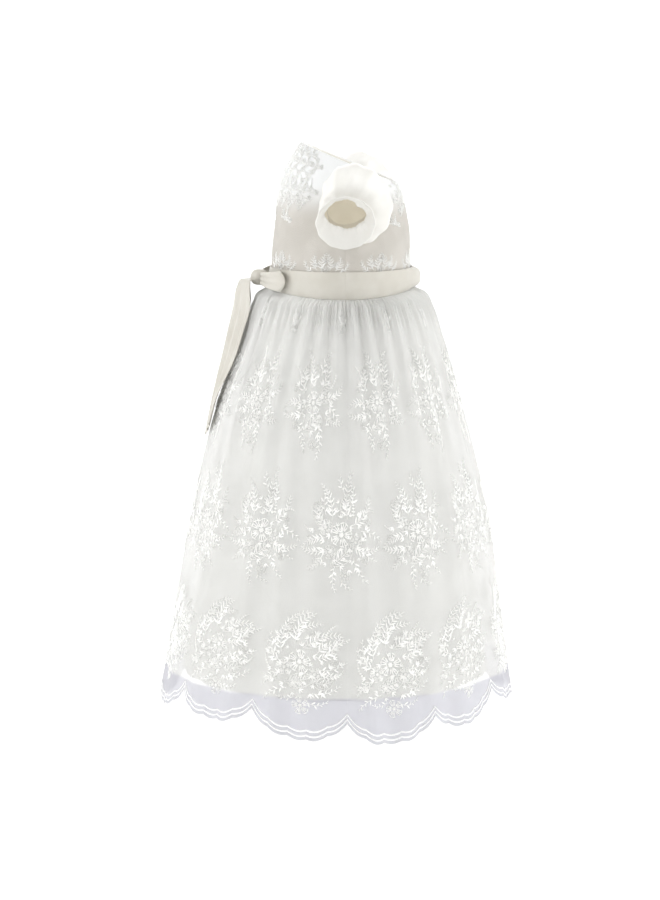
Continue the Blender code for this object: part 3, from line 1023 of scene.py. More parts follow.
@dataclass(frozen=True)
class Finishes:
    """The gown's materials, by the piece that wears them."""

    satin: bpy.types.Material
    sash: bpy.types.Material
    inside: bpy.types.Material
    bodice: bpy.types.Material
    lining: bpy.types.Material
    net: bpy.types.Material
    thread: bpy.types.Material
    cord: bpy.types.Material

    @classmethod
    def mixed(cls) -> "Finishes":
        """Makes every material.

        Returns:
            The set.
        """
        make = ClothFinish
        return cls(
            satin=make(
                "satin", Pattern.SATIN, colour=(0.87, 0.86, 0.83), shade=(0.81, 0.80, 0.76),
                roughness=0.36, sheen=0.15, pitch=0.00045, bump=0.10, glow=0.12,
            ).build(),
            # The sash, for the band and the bow, is darker than the sleeves' satin as painted shade.
            sash=make(
                "sash satin", Pattern.SATIN, colour=(0.66, 0.64, 0.58), shade=(0.60, 0.575, 0.51),
                roughness=0.36, sheen=0.15, pitch=0.00045, bump=0.10, glow=0.10,
            ).build(),
            # The inside of the bodice and sleeves: darkened to tan as painted shade and lifted by a painted
            # glow; towards the neckline it turns pale as painted light.
            inside=make(
                "satin inside", Pattern.SATIN, colour=(0.66, 0.62, 0.53), shade=(0.60, 0.56, 0.47),
                roughness=0.6, sheen=0.1, pitch=0.00045, bump=0.1, lit=0.28,
                blend=PaintedLightAndShade((0.93, 0.93, 0.91), start=-0.045, end=-0.028),
            ).build(),
            # The bodice lace: its beige ground is partly its own tone and partly painted shade; towards the
            # neckline it turns pale as painted light.
            bodice=make(
                "bodice lace", Pattern.LACE, colour=(0.615, 0.59, 0.545), shade=(0.54, 0.515, 0.47),
                roughness=0.62, sheen=0.2, pitch=0.0016, bump=0.35, glow=0.12,
                blend=PaintedLightAndShade((0.85, 0.86, 0.86), start=-0.070, end=-0.030),
            ).build(),
            lining=make(
                "lining", Pattern.PLAIN, colour=(0.81, 0.81, 0.77), shade=(0.77, 0.77, 0.73),
                roughness=0.48, sheen=0.1, pitch=0.0005, bump=0.12, glow=0.12,
            ).build(),
            # The net: below the lining's hem it turns a darker lilac grey and more opaque, as painted shade.
            net=make(
                "net", Pattern.NET, colour=(0.805, 0.805, 0.785), shade=(0.75, 0.75, 0.73),
                roughness=0.8, sheen=0.2, pitch=0.0011, bump=0.15, solid=0.34,
                blend=PaintedLightAndShade((0.49, 0.49, 0.53), start=-0.5815, end=-0.5860, haze=0.58),
            ).build(),
            thread=make(
                "embroidery thread", Pattern.STITCH, colour=(0.97, 0.97, 0.95),
                shade=(0.94, 0.94, 0.92), roughness=0.5, sheen=0.25, pitch=0.0006, bump=0.3,
            ).build(),
            cord=make(
                "edging cord", Pattern.STITCH, colour=(0.97, 0.97, 0.965), shade=(0.90, 0.90, 0.90),
                roughness=0.5, sheen=0.25, pitch=0.0008, bump=0.4,
            ).build(),
        )


class Leafing(Enum):
    """How a stem carries its leaves: each has a spread in degrees and a width for its length."""

    FERN = (44.0, 0.22)
    RIBBED = (54.0, 0.13)
    TWIG = (48.0, 0.33)
    BEADS = (70.0, 0.80)


@dataclass(frozen=True)
class Spray:
    """A stitched stem in a motif, in millimetres and degrees, that bends steadily as it runs."""

    x: float
    y: float
    heading: float
    length: float
    bend: float
    leaves: int
    leaf: float
    leafing: Leafing = Leafing.FERN
    size_stray: float = 0.14
    spread_stray: float = 0.16
    bare_root: float = 0.8
    bare_ends: float = 0.4
    tip_size: float = 0.9
    height: float = 0.55

    def line(self, part: Array) -> tuple[Array, Array, Array]:
        """The stem's course: a circular arc, which is the integral of its changing heading.

        Args:
            part: places from 0 at its root to 1 at its tip.

        Returns:
            The x, the y and the heading at each place.
        """
        bend = radians(self.bend) + 1e-6
        start = radians(self.heading)
        heading = start + bend * part
        x = self.x + self.length / bend * (np.sin(heading) - sin(start))
        y = self.y - self.length / bend * (np.cos(heading) - cos(start))
        return x, y, heading

    def petals(self) -> Array:
        """The leaves: rows of x, y, heading, length, width and height in millimetres.

        Returns:
            A row for each leaf.
        """
        count = np.arange(self.leaves)
        part = (count + self.bare_root) / (self.leaves + self.bare_ends)
        spread, slim = self.leafing.value
        spread = radians(spread)
        size = self.taper(part) * (1 + self.size_stray * np.sin(5 * count + self.x))
        stray = 1 + self.spread_stray * np.sin(3 * count + self.y)
        side = np.where(count % 2, 1.0, -1.0)
        if self.leafing is not Leafing.TWIG:
            side = np.ones(self.leaves)
        x, y, heading = self.line(part)
        rows = [self.leaf_rows(x, y, heading + side * spread * stray, size, slim)]
        if self.leafing is not Leafing.TWIG:
            rows.append(self.leaf_rows(x, y, heading - spread * (2 - stray), size, slim))
        tip = self.line(np.array([1.0]))
        rows.append(self.leaf_rows(*tip, size[-1:] * self.tip_size, slim))
        return np.concatenate(rows)

    def taper(self, part: Array) -> Array:
        """How the leaves shorten: evenly to the tip, or round a ribbed leaf by a sine.

        Args:
            part: places from 0 at the root to 1 at the tip.

        Returns:
            The leaf's size at each place, as a share of its full length.
        """
        if self.leafing is Leafing.RIBBED:
            return np.sin(pi * np.clip(part, 0, 1) ** 0.8) * 0.9 + 0.15
        return 1.05 - 0.60 * part

    def lines(self, part: Array) -> list[tuple[Array, Array, Array]]:
        """The stitched lines: the stem, and a ribbed leaf's edges either side of it.

        Args:
            part: places from 0 at the root to 1 at the tip.

        Returns:
            The x, the y and the heading of each line.
        """
        x, y, heading = self.line(part)
        if self.leafing is not Leafing.RIBBED:
            return [(x, y, heading)]
        spread = radians(self.leafing.value[0])
        aside = self.leaf * sin(spread) * self.taper(part)
        ahead = self.leaf * cos(spread) * self.taper(part)
        shift_x, shift_y = x + ahead * np.cos(heading), y + ahead * np.sin(heading)
        edges = [
            (shift_x - side * aside * np.sin(heading), shift_y + side * aside * np.cos(heading), heading)
            for side in (-1, 1)
        ]
        return [(x, y, heading), *edges]

    def leaf_rows(self, x: Array, y: Array, heading: Array, size: Array, slim: float) -> Array:
        """Rows for leaves of one side, each as wide as `slim` times its length."""
        length = self.leaf * size
        return np.stack([x, y, heading, length, length * slim, np.full_like(length, self.height)], axis=-1)


@dataclass(frozen=True)
class Flower:
    """An open flower in a motif, in millimetres: petals round a ring of knots."""

    x: float
    y: float
    radius: float
    petals_round: int
    turn: float = 10.0
    eye: float = 0.26
    ribs: tuple[tuple[float, float], ...] = ((-0.72, 0.80), (-0.30, 0.97), (0.12, 1.0), (0.5, 0.92))
    rib_width: float = 0.105
    height: float = 0.55
    rim_lean: float = radians(118)
    rim_length: float = 0.85
    rim_width: float = 0.11
    rim_height: float = 0.6
    knots: int = 7
    knot_width: float = 0.6
    knot_height: float = 0.9

    def petals(self) -> Array:
        """The petals and the knots: rows of x, y, heading, length, width and height.

        Returns:
            A row for each.
        """
        heading = np.linspace(0, FULL, self.petals_round, endpoint=False) + radians(self.turn)
        inner, half = self.eye * self.radius, pi / self.petals_round
        outer = self.radius - inner
        ribs = [
            self.ring(heading + half * aside, inner, outer * reach, self.rib_width * self.radius, self.height)
            for aside, reach in self.ribs
        ]
        rim = []
        for side in (-1, 1):
            length = self.radius * sin(half) * self.rim_length
            arch = self.ring(heading, 0.0, length, self.rim_width * self.radius, self.rim_height)
            arch[:, 0] = self.x + self.radius * np.cos(heading)
            arch[:, 1] = self.y + self.radius * np.sin(heading)
            arch[:, 2] += side * self.rim_lean
            rim.append(arch)
        around = np.linspace(0, FULL, self.knots, endpoint=False)
        knots = self.ring(around, 0.0, inner, inner * self.knot_width, self.knot_height)
        return np.concatenate([*ribs, *rim, knots])

    def ring(self, heading: Array, inner: float, length: float, width: float, height: float) -> Array:
        """Rows for stitched lenses that point out from the flower's middle.

        Args:
            heading: the way that each points.
            inner: how far from the middle it starts.
            length: its length.
            width: its width.
            height: its height.

        Returns:
            A row for each.
        """
        same = np.ones_like(heading)
        x, y = self.x + inner * np.cos(heading), self.y + inner * np.sin(heading)
        return np.stack([x, y, heading, length * same, width * same, height * same], axis=-1)


@dataclass(frozen=True)
class Tufts:
    """Small tufts of three stitches that fill an oval, in millimetres, on a golden-angle spiral."""

    x: float
    y: float
    half_width: float
    half_height: float
    count: int
    leaf: float = 5.5
    slim: float = 0.30
    spread: float = radians(38)
    size_stray: float = 0.2
    turn_stray: float = 1.1
    height: float = 0.5

    def petals(self) -> Array:
        """The stitches: rows of x, y, heading, length, width and height.

        Returns:
            A row for each.
        """
        step = np.arange(self.count) + 0.5
        reach, angle = np.sqrt(step / self.count), step * pi * (3 - sqrt(5))
        x = self.x + self.half_width * reach * np.cos(angle)
        y = self.y + self.half_height * reach * np.sin(angle)
        length = self.leaf * (1 + self.size_stray * np.sin(7 * step))
        heading = angle + self.turn_stray * np.sin(3 * step)
        rows = [
            np.stack([x, y, heading + aside, length, self.slim * length, self.height + 0 * x], axis=-1)
            for aside in (-self.spread, 0.0, self.spread)
        ]
        return np.concatenate(rows)


@dataclass(frozen=True)
class Motif:
    """A group of stitched sprays, flowers and tufts, in millimetres round its middle."""

    sprays: tuple[Spray, ...]
    flowers: tuple[Flower, ...]
    tufts: tuple[Tufts, ...] = ()

    def petals(self) -> Array:
        """Every leaf, petal and knot, as rows of x, y, heading, length, width and height."""
        return np.concatenate([part.petals() for part in (*self.sprays, *self.flowers, *self.tufts)])


RIBBED, TWIG, BEADS = Leafing.RIBBED, Leafing.TWIG, Leafing.BEADS
HEM_BOUQUET = Motif(
    (
        Spray(-22, 8, 104, 66, -92, 12, 9.5),
        Spray(-27, 14, 92, 50, -64, 13, 2.4, BEADS),
        Spray(-6, 20, 96, 46, -74, 8, 11.5),
        Spray(10, 20, 48, 40, -58, 8, 10),
        Spray(-6, 34, 40, 34, -40, 7, 8),
        Spray(20, 12, 52, 34, -56, 7, 8.5),
        Spray(-28, 4, 132, 26, -50, 6, 8, TWIG),
        Spray(-22, -2, 168, 30, -70, 6, 8.5),
        Spray(-20, -14, 196, 30, 50, 6, 8),
        Spray(-32, -14, 150, 20, -60, 6, 2.4, BEADS),
        Spray(18, 6, 2, 40, 76, 9, 9),
        Spray(30, 8, 62, 34, -46, 7, 8.5, TWIG),
        Spray(19, -6, -12, 36, 50, 8, 8, TWIG),
        Spray(24, -10, -30, 26, 60, 6, 7.5),
        Spray(-18, -25, 6, 36, 20, 10, 9.5, RIBBED),
        Spray(14, -20, -22, 25, 50, 7, 8.5, RIBBED),
        Spray(4, 17, 40, 26, -22, 7, 8, RIBBED),
        Spray(-18, 22, 82, 24, -34, 7, 7, RIBBED),
        Spray(-14, -33, 186, 30, 50, 8, 7, TWIG),
        Spray(-26, -24, 200, 18, -50, 5, 6.5),
        Spray(16, -34, -8, 34, 56, 9, 7, TWIG),
        Spray(10, -44, -36, 24, 80, 7, 6, TWIG),
        Spray(-6, -42, 216, 18, -60, 5, 6, TWIG),
        Spray(28, 26, 84, 24, -60, 8, 2.4, BEADS),
        Spray(36, -16, 10, 18, 50, 6, 2.4, BEADS),
    ),
    (
        Flower(0, 0, 14, 5),
        Flower(-18, -9, 9.5, 5, 30),
        Flower(18, -12, 8.5, 5, 50),
        Flower(-5, -25, 8, 5, 0),
        Flower(3, -50, 10.5, 5, 36),
        Flower(-36, 8, 5.5, 5, 20),
        Flower(40, 0, 5.5, 5, 60),
        Flower(18, 33, 5, 5, 10),
        Flower(-30, -22, 5.5, 5, 44),
        Flower(27, -27, 5.5, 5, 20),
        Flower(-14, 38, 4.6, 5, 0),
        Flower(41, 17, 4.2, 5, 30),
    ),
    (Tufts(3, 0, 44, 42, 46),),
)
MIDDLE_BOUQUET = Motif(
    (
        Spray(8, 14, 98, 54, -30, 10, 9.5),
        Spray(16, 16, 84, 46, 24, 12, 2.4, BEADS),
        Spray(14, 30, 62, 24, 50, 6, 8, TWIG),
        Spray(-12, 14, 84, 42, 50, 8, 10),
        Spray(-20, 20, 118, 28, -60, 7, 8, TWIG),
        Spray(16, 8, 24, 38, 58, 8, 9),
        Spray(26, 2, -4, 30, -40, 7, 8, TWIG),
        Spray(-18, 2, 140, 36, -70, 8, 9),
        Spray(-20, -6, 176, 34, 54, 8, 8.5),
        Spray(-34, 2, 190, 16, -60, 6, 2.4, BEADS),
        Spray(-18, -18, 206, 32, -50, 7, 8.5),
        Spray(16, -16, -34, 34, 62, 8, 8.5),
        Spray(28, -18, -60, 22, 40, 5, 7.5, TWIG),
        Spray(-14, -38, 30, 36, 20, 10, 10.5, RIBBED),
        Spray(-30, 8, 88, 26, 22, 8, 8, RIBBED),
        Spray(0, 16, 62, 25, 24, 7, 8, RIBBED),
        Spray(16, -28, -80, 32, 44, 8, 7, TWIG),
        Spray(-8, -38, -112, 28, 42, 8, 7, TWIG),
        Spray(-24, -26, 250, 24, -56, 7, 7),
        Spray(22, 20, 36, 24, -60, 8, 2.4, BEADS),
        Spray(0, -54, -66, 16, 60, 5, 6, TWIG),
        Spray(4, 44, 128, 20, -40, 5, 7, TWIG),
    ),
    (
        Flower(0, -3, 14.5, 5, 0),
        Flower(-20, 6, 9, 5, 24),
        Flower(19, -11, 8.5, 5, 8),
        Flower(-15, -22, 8, 5, 40),
        Flower(34, 12, 5.5, 5, 12),
        Flower(-40, -8, 5.2, 5, 0),
        Flower(5, -49, 7, 5, 30),
        Flower(8, 40, 5, 5, 30),
        Flower(-26, 32, 4.8, 5, 10),
        Flower(31, -30, 5.2, 5, 40),
        Flower(-31, -32, 5, 5, 15),
    ),
    (Tufts(0, -4, 37, 44, 42),),
)
UPPER_BOUQUET = Motif(
    (
        Spray(-4, 14, 80, 46, 56, 9, 9.5),
        Spray(12, 14, 50, 42, 60, 8, 9.5),
        Spray(10, 28, 92, 30, -60, 7, 8, TWIG),
        Spray(-18, 8, 122, 38, -80, 8, 9),
        Spray(-24, 18, 98, 24, 40, 6, 2.4, BEADS),
        Spray(20, 2, -6, 32, 76, 8, 8.5),
        Spray(24, -6, -26, 26, -40, 6, 8, TWIG),
        Spray(-20, -2, 164, 30, 54, 7, 8.5),
        Spray(-17, -13, 212, 32, -56, 7, 8.5),
        Spray(-12, -32, 22, 30, 30, 9, 9.5, RIBBED),
        Spray(-20, 14, 100, 25, -40, 7, 8, RIBBED),
        Spray(10, 10, 30, 22, 30, 6, 7.5, RIBBED),
        Spray(8, -24, -60, 40, -56, 10, 7.5, TWIG),
        Spray(-14, -22, 250, 30, 50, 8, 7.5, TWIG),
        Spray(20, -18, -46, 28, 66, 7, 7.5),
        Spray(26, 14, 30, 20, 60, 6, 2.4, BEADS),
        Spray(-8, -40, 236, 18, 50, 5, 6, TWIG),
    ),
    (
        Flower(0, -2, 13.5, 5, 15),
        Flower(-18, -7, 8.5, 5, 0),
        Flower(19, 4, 8, 5, 30),
        Flower(9, -23, 7.5, 5, 12),
        Flower(-31, 14, 5.2, 5, 18),
        Flower(2, -48, 6.5, 5, 0),
        Flower(28, -20, 5, 5, 40),
        Flower(3, 38, 5, 5, 25),
        Flower(-26, -28, 5, 5, 5),
    ),
    (Tufts(0, -2, 34, 38, 36),),
)
SPRIG = Motif(
    (
        Spray(0, 0, 82, 19, 24, 7, 6.0),
        Spray(0, 0, 128, 14, -22, 5, 5.5),
        Spray(0, 0, 36, 14, 20, 5, 5.5),
    ),
    (Flower(0, -3, 6, 5, 18),),
)
LEAF_FAN = Motif(
    (
        Spray(-3, 1, 100, 20, -40, 6, 6.5),
        Spray(-8, 1, 126, 19, -60, 6, 6.5),
        Spray(-12, -1, 160, 16, -70, 5, 5.5),
        Spray(5, 1, 76, 20, 40, 6, 6.5),
        Spray(10, 0, 50, 18, 50, 6, 6.0),
        Spray(13, -2, 16, 15, 70, 5, 5.5),
    ),
    (
        Flower(0, 2, 4.6, 5, 0),
        Flower(-9, 8, 3.8, 5, 30),
        Flower(10, 7, 3.8, 5, 10),
        Flower(1, 13, 3.6, 5, 50),
    ),
)
LACE_CLUSTER = Motif(
    (
        Spray(0, 0, 60, 12, 30, 4, 4.2),
        Spray(0, 0, 190, 12, -34, 4, 4.2),
        Spray(0, 0, 305, 11, 30, 4, 2.2, BEADS),
    ),
    (Flower(0, 0, 4.8, 5, 0), Flower(7, -4, 3.4, 5, 20), Flower(-6, 6, 3.6, 5, 50)),
)


@dataclass(frozen=True)
class Placing:
    """Where copies of a motif lie: turns in degrees, a distance down the cloth, and a size."""

    motif: Motif
    turns: tuple[float, ...]
    down: float
    scale: float = 1.0
    lean: float = 0.0


@dataclass(frozen=True)
class Embroidery:
    """Raised stitching on a surface: lenses for leaves and petals, ribbons for stems."""

    surface: Surface
    sign: int
    degrees_per_metre: float
    along_of: Callable[[Array], Array]
    lift: float = 0.00035
    lens_along: tuple[float, ...] = (0.0, 0.3, 0.72, 1.0)
    lens_cloth: tuple[float, float] = (0.008, 0.0015)
    stem_width: float = 0.00055
    stem_height: float = 0.0004
    stem_steps: int = 11
    stem_cloth: tuple[float, float] = (0.03, 0.0003)

    def mapped(self, x: Array, y: Array, height: Array) -> Array:
        """Puts points of the flat pattern on the cloth.

        Args:
            x: turns in radians.
            y: distances down the cloth.
            height: how far each stands off the cloth.

        Returns:
            The points.
        """
        return lifted(self.surface, x, self.along_of(y), height * self.sign)

    def copies(self, placing: Placing, x: Array, y: Array) -> tuple[Array, Array]:
        """Repeats flat points, in metres, at each of a placing's turns.

        Args:
            placing: where the copies lie.
            x: the points' distance to the side.
            y: their distance upwards.

        Returns:
            The turn in radians of each point of each copy, and its distance down the cloth.
        """
        copy = np.arange(len(placing.turns)).reshape(-1, *[1] * x.ndim)
        lean = radians(placing.lean)
        side = (x * cos(lean) - y * sin(lean)) * placing.scale
        rise = (x * sin(lean) + y * cos(lean)) * placing.scale
        middle = np.array(placing.turns).reshape(copy.shape)
        turn = np.radians(middle - side * self.degrees_per_metre)
        return turn, placing.down - rise + 0 * turn

    def build(self, name: str, placings: list[Placing], finish: bpy.types.Material) -> bpy.types.Object:
        """One joined mesh of every stitched lens and stem.

        Args:
            name: the piece's name.
            placings: the motifs and where they lie.
            finish: the thread's material.

        Returns:
            The object.
        """
        points, faces, uvs, count = [], [], [], 0
        for placing in placings:
            for patch, patch_uv in (self.lenses(placing), self.stems(placing)):
                rows, columns = patch.shape[-3:-1]
                patch = patch.reshape(-1, rows, columns, 3)
                index = np.arange(rows * columns).reshape(rows, columns)
                quads = grid_quads(index)
                offset = count + np.arange(len(patch))[:, None, None] * rows * columns
                faces.append((quads + offset).reshape(-1, 4))
                points.append(patch.reshape(-1, 3))
                uvs.append(np.broadcast_to(patch_uv, (*patch.shape[:3], 2)).reshape(-1, 2))
                count += patch.size // 3
        piece = add_piece(
            name, np.concatenate(points), np.concatenate(faces), np.concatenate(uvs), [finish],
            np.zeros(1),
        )
        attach(piece, "root")
        return piece

    def lenses(self, placing: Placing) -> tuple[Array, Array]:
        """The leaves and petals: pointed ovals, widest by sin(pi s), domed by (1 - c^2) sqrt(s).

        Args:
            placing: a motif and where it lies.

        Returns:
            A grid of points for each lens of each copy, and the grid's cloth coordinates.
        """
        rows = placing.motif.petals()[:, :, None, None]
        x, y, heading, length, width, height = (rows[:, column] for column in range(6))
        s = np.array(self.lens_along)[None, :, None]
        c = np.array([-1.0, 0.0, 1.0])[None, None, :]
        oval_width = np.sin(pi * s**0.85) * 0.5 * width
        side_x = x + length * s * np.cos(heading) - c * oval_width * np.sin(heading)
        side_y = y + length * s * np.sin(heading) + c * oval_width * np.cos(heading)
        dome = height * (1 - c * c) * np.sqrt(np.sin(pi * np.clip(s, 0.001, 0.999)))
        turn, down = self.copies(placing, side_x / MILLIMETRES, side_y / MILLIMETRES)
        stand = self.lift + np.broadcast_to(dome, side_x.shape) / MILLIMETRES
        points = self.mapped(turn, down, np.broadcast_to(stand, turn.shape))
        long, wide = self.lens_cloth
        uv = np.stack(np.broadcast_arrays(s[0] * long, c[0] * wide), axis=-1)
        return self.turned_out(points, placing), uv

    def stems(self, placing: Placing) -> tuple[Array, Array]:
        """The stems: ribbons with a raised middle along each spray's arc.

        Args:
            placing: a motif and where it lies.

        Returns:
            A grid of points for each stem of each copy, and the grid's cloth coordinates.
        """
        part = np.linspace(0, 1, self.stem_steps)
        courses = [line for spray in placing.motif.sprays for line in spray.lines(part)]
        x, y, heading = (np.stack(values)[:, :, None] for values in zip(*courses))
        c = np.array([-1.0, 0.0, 1.0])[None, None, :]
        half = self.stem_width * MILLIMETRES / 2
        side_x = x - c * half * np.sin(heading)
        side_y = y + c * half * np.cos(heading)
        turn, down = self.copies(placing, side_x / MILLIMETRES, side_y / MILLIMETRES)
        stand = self.lift + self.stem_height * (1 - c * c) + 0 * side_x
        points = self.mapped(turn, down, np.broadcast_to(stand, turn.shape))
        long, wide = self.stem_cloth
        uv = np.stack(np.broadcast_arrays(part[:, None] * long, c[0] * wide), axis=-1)
        return self.turned_out(points, placing), uv

    def turned_out(self, points: Array, placing: Placing) -> Array:
        """Reverses the grids whose copy isn't mirrored, so that every face looks outwards.

        Args:
            points: the grids, copy by copy.
            placing: where the copies lie. Not used.

        Returns:
            The grids, all facing out of the cloth.
        """
        first = points[:, :, 1, 1] - points[:, :, 0, 1]
        second = points[:, :, 1, 2] - points[:, :, 1, 0]
        middle = points[:, :, 1, 1]
        facing = np.cross(second, first) * middle * np.array([1, 1, 0])
        inward = (facing.sum(axis=-1) < 0)[:, :, None, None, None]
        return np.where(inward, points[:, :, :, ::-1], points)


@dataclass
class Bodice:
    """The lace-covered bodice: a front and two backs, with raised clusters and leaf fans."""

    form: GownForm
    wall: float = 0.0011
    columns: int = 80
    row_counts: tuple[int, int, int] = (24, 41, 14)
    flat_length: float = 0.150
    lace_lift: float = 0.0002
    pieces: list = field(default_factory=list)

    def rows(self) -> Array:
        """The rows of the panels: close together round the armhole's curve.

        Returns:
            Places from 0 at the waist to 1 at the neckline.
        """
        low = self.form.armhole_middle - self.form.armhole_reach
        high = self.form.armhole_middle + self.form.armhole_reach
        below, beside, above = self.row_counts
        arc = np.linspace(0, pi, beside)
        middle = self.form.armhole_middle - self.form.armhole_reach * np.cos(arc)
        below, above = np.linspace(0, low, below)[:-1], np.linspace(high, 1, above)[1:]
        return np.concatenate([below, middle, above])

    def build(self, finishes: Finishes) -> None:
        """Builds the three panels from the waist to the neckline, notched by the armholes.

        Args:
            finishes: the gown's materials.

        Returns:
            Nothing.
        """
        along = self.rows()
        gap = SEAM_GAP / 2 / BODICE.at("side", along)
        notch = self.form.armhole_notch(along)
        front = SIDE - self.form.armhole_front * notch - gap
        back = SIDE + self.form.armhole_back * notch + gap
        half_columns = self.columns // 2
        front_cut = Cut(0.27, 0.155, 0.027, "stretched")
        back_cut = Cut(0.135, 0.165, 0.0150, "stretched")
        panels = (
            ("bodice_front", -front, front, self.columns, front_cut),
            ("bodice_back_right", back, BACK - gap, half_columns, back_cut),
            ("bodice_back_left", BACK + gap, FULL - back, half_columns, back_cut),
        )
        for node, first, last, columns, cut in panels:
            share = 0.5 - 0.5 * np.cos(np.linspace(0, pi, columns + 1))
            share = 0.5 * share + 0.5 * np.linspace(0, 1, columns + 1)
            turn = first[:, None] + (last - first)[:, None] * share
            cloth = ClothPiece(f"{node}_cloth", node, self.form.bodice, -1, self.wall, "bodice_lace", cut)
            height = np.repeat(along[:, None], columns + 1, axis=1)
            # The inner wall takes the inside finish: painted shade with a painted glow.
            piece = cloth.build(turn, height, [finishes.bodice, finishes.inside])
            self.pieces.append((cloth, piece))

    def down_to_along(self, down: Array) -> Array:
        """Turns a distance down from the neckline into `along`."""
        return 1 - down / self.flat_length

    def dress(self, finishes: Finishes) -> None:
        """Adds the raised lace: leaf fans above the band, and clusters that thicken at the neck.

        Args:
            finishes: the gown's materials.

        Returns:
            Nothing.
        """
        stitching = Embroidery(
            self.form.bodice, -1, 1 / radians(1) / self.form.waist_radius, self.down_to_along, self.lace_lift,
        )
        fans = Placing(LEAF_FAN, (14, 59, 106, 151, 209, 254, 301, 346), down=0.146, scale=1.15)
        neck = [
            Placing(LACE_CLUSTER, turns, down, lean=lean)
            for down, lean, turns in (
                (0.010, 0, (*range(128, 233, 13), 24, 0, -24)),
                (0.022, 40, (*range(122, 240, 13), 42, 14, -14, -42)),
                (0.035, 80, (*range(128, 233, 13), 48, 24, 0, -24, -48)),
                (0.048, 20, (*range(122, 240, 13), 36, 12, -12, -36)),
                (0.061, 60, (*range(128, 233, 13), 24, 0, -24)),
                (0.080, 10, (148, 180, 212, 40, -40)),
            )
        ]
        piece = stitching.build("bodice_embroidery", [fans, *neck], finishes.thread)
        for cloth, panel in self.pieces:
            on_it = [piece] if cloth.node == "bodice_front" else []
            cloth.declare(panel, ["waistband_front"], on_it)


@dataclass
class Sleeves:
    """A short satin puff sleeve on each side, drawn in by elastic above a small flounce."""

    form: GownForm
    wall: float = 0.0009
    around: int = 180
    rows: int = 52
    flounce: float = 0.80

    def build(self, finishes: Finishes) -> None:
        """Builds both sleeves, the left one held a little further forward and up.

        Args:
            finishes: the gown's materials.

        Returns:
            Nothing.
        """
        angles = np.linspace(0, FULL, self.around, endpoint=False)
        angle, along = np.meshgrid(angles, np.linspace(0, 1, self.rows))
        cut = Cut(0.27, 0.105, 0.0205, "gathered")
        for side, surface, sign in (("right", self.form.sleeve, 1), ("left", self.form.left_sleeve, -1)):
            cloth = ClothPiece(
                f"sleeve_{side}_satin", f"sleeve_{side}", surface, sign, self.wall, "sleeve_satin", cut,
                ring=True, facing_out=self.flounce,
            )
            # The inner wall up to the flounce takes the inside finish, painted shade with a painted glow; the
            # flounce's underside stays satin.
            piece = cloth.build(angle, along, [finishes.satin, finishes.inside])
            cloth.declare(piece, ["bodice_front"], [])


@dataclass
class Waistband:
    """The satin band: one piece in front, two behind."""

    form: GownForm
    wall: float = 0.0011
    radius: float = 0.083
    columns: int = 160
    rows: int = 16

    def build(self, finishes: Finishes) -> None:
        """Builds the three pieces of the band.

        Args:
            finishes: the gown's materials.

        Returns:
            Nothing.
        """
        gap = SEAM_GAP / 2 / self.radius
        front_cut = Cut(0.262, 0.030, 0.0075, "stretched")
        back_cut = Cut(0.135, 0.030, 0.0038, "stretched")
        pieces = (
            ("waistband_front", -SIDE + gap, SIDE - gap, self.columns, front_cut),
            ("waistband_back_right", SIDE + gap, BACK - gap, self.columns // 2, back_cut),
            ("waistband_back_left", BACK + gap, FULL - SIDE - gap, self.columns // 2, back_cut),
        )
        for node, first, last, columns, cut in pieces:
            turn, along = np.meshgrid(np.linspace(first, last, columns), np.linspace(0, 1, self.rows))
            cloth = ClothPiece(f"{node}_satin", node, self.form.band, 1, self.wall, "sash_satin", cut)
            piece = cloth.build(turn, along, [finishes.sash])
            cloth.declare(piece, ["bodice_front"], [])


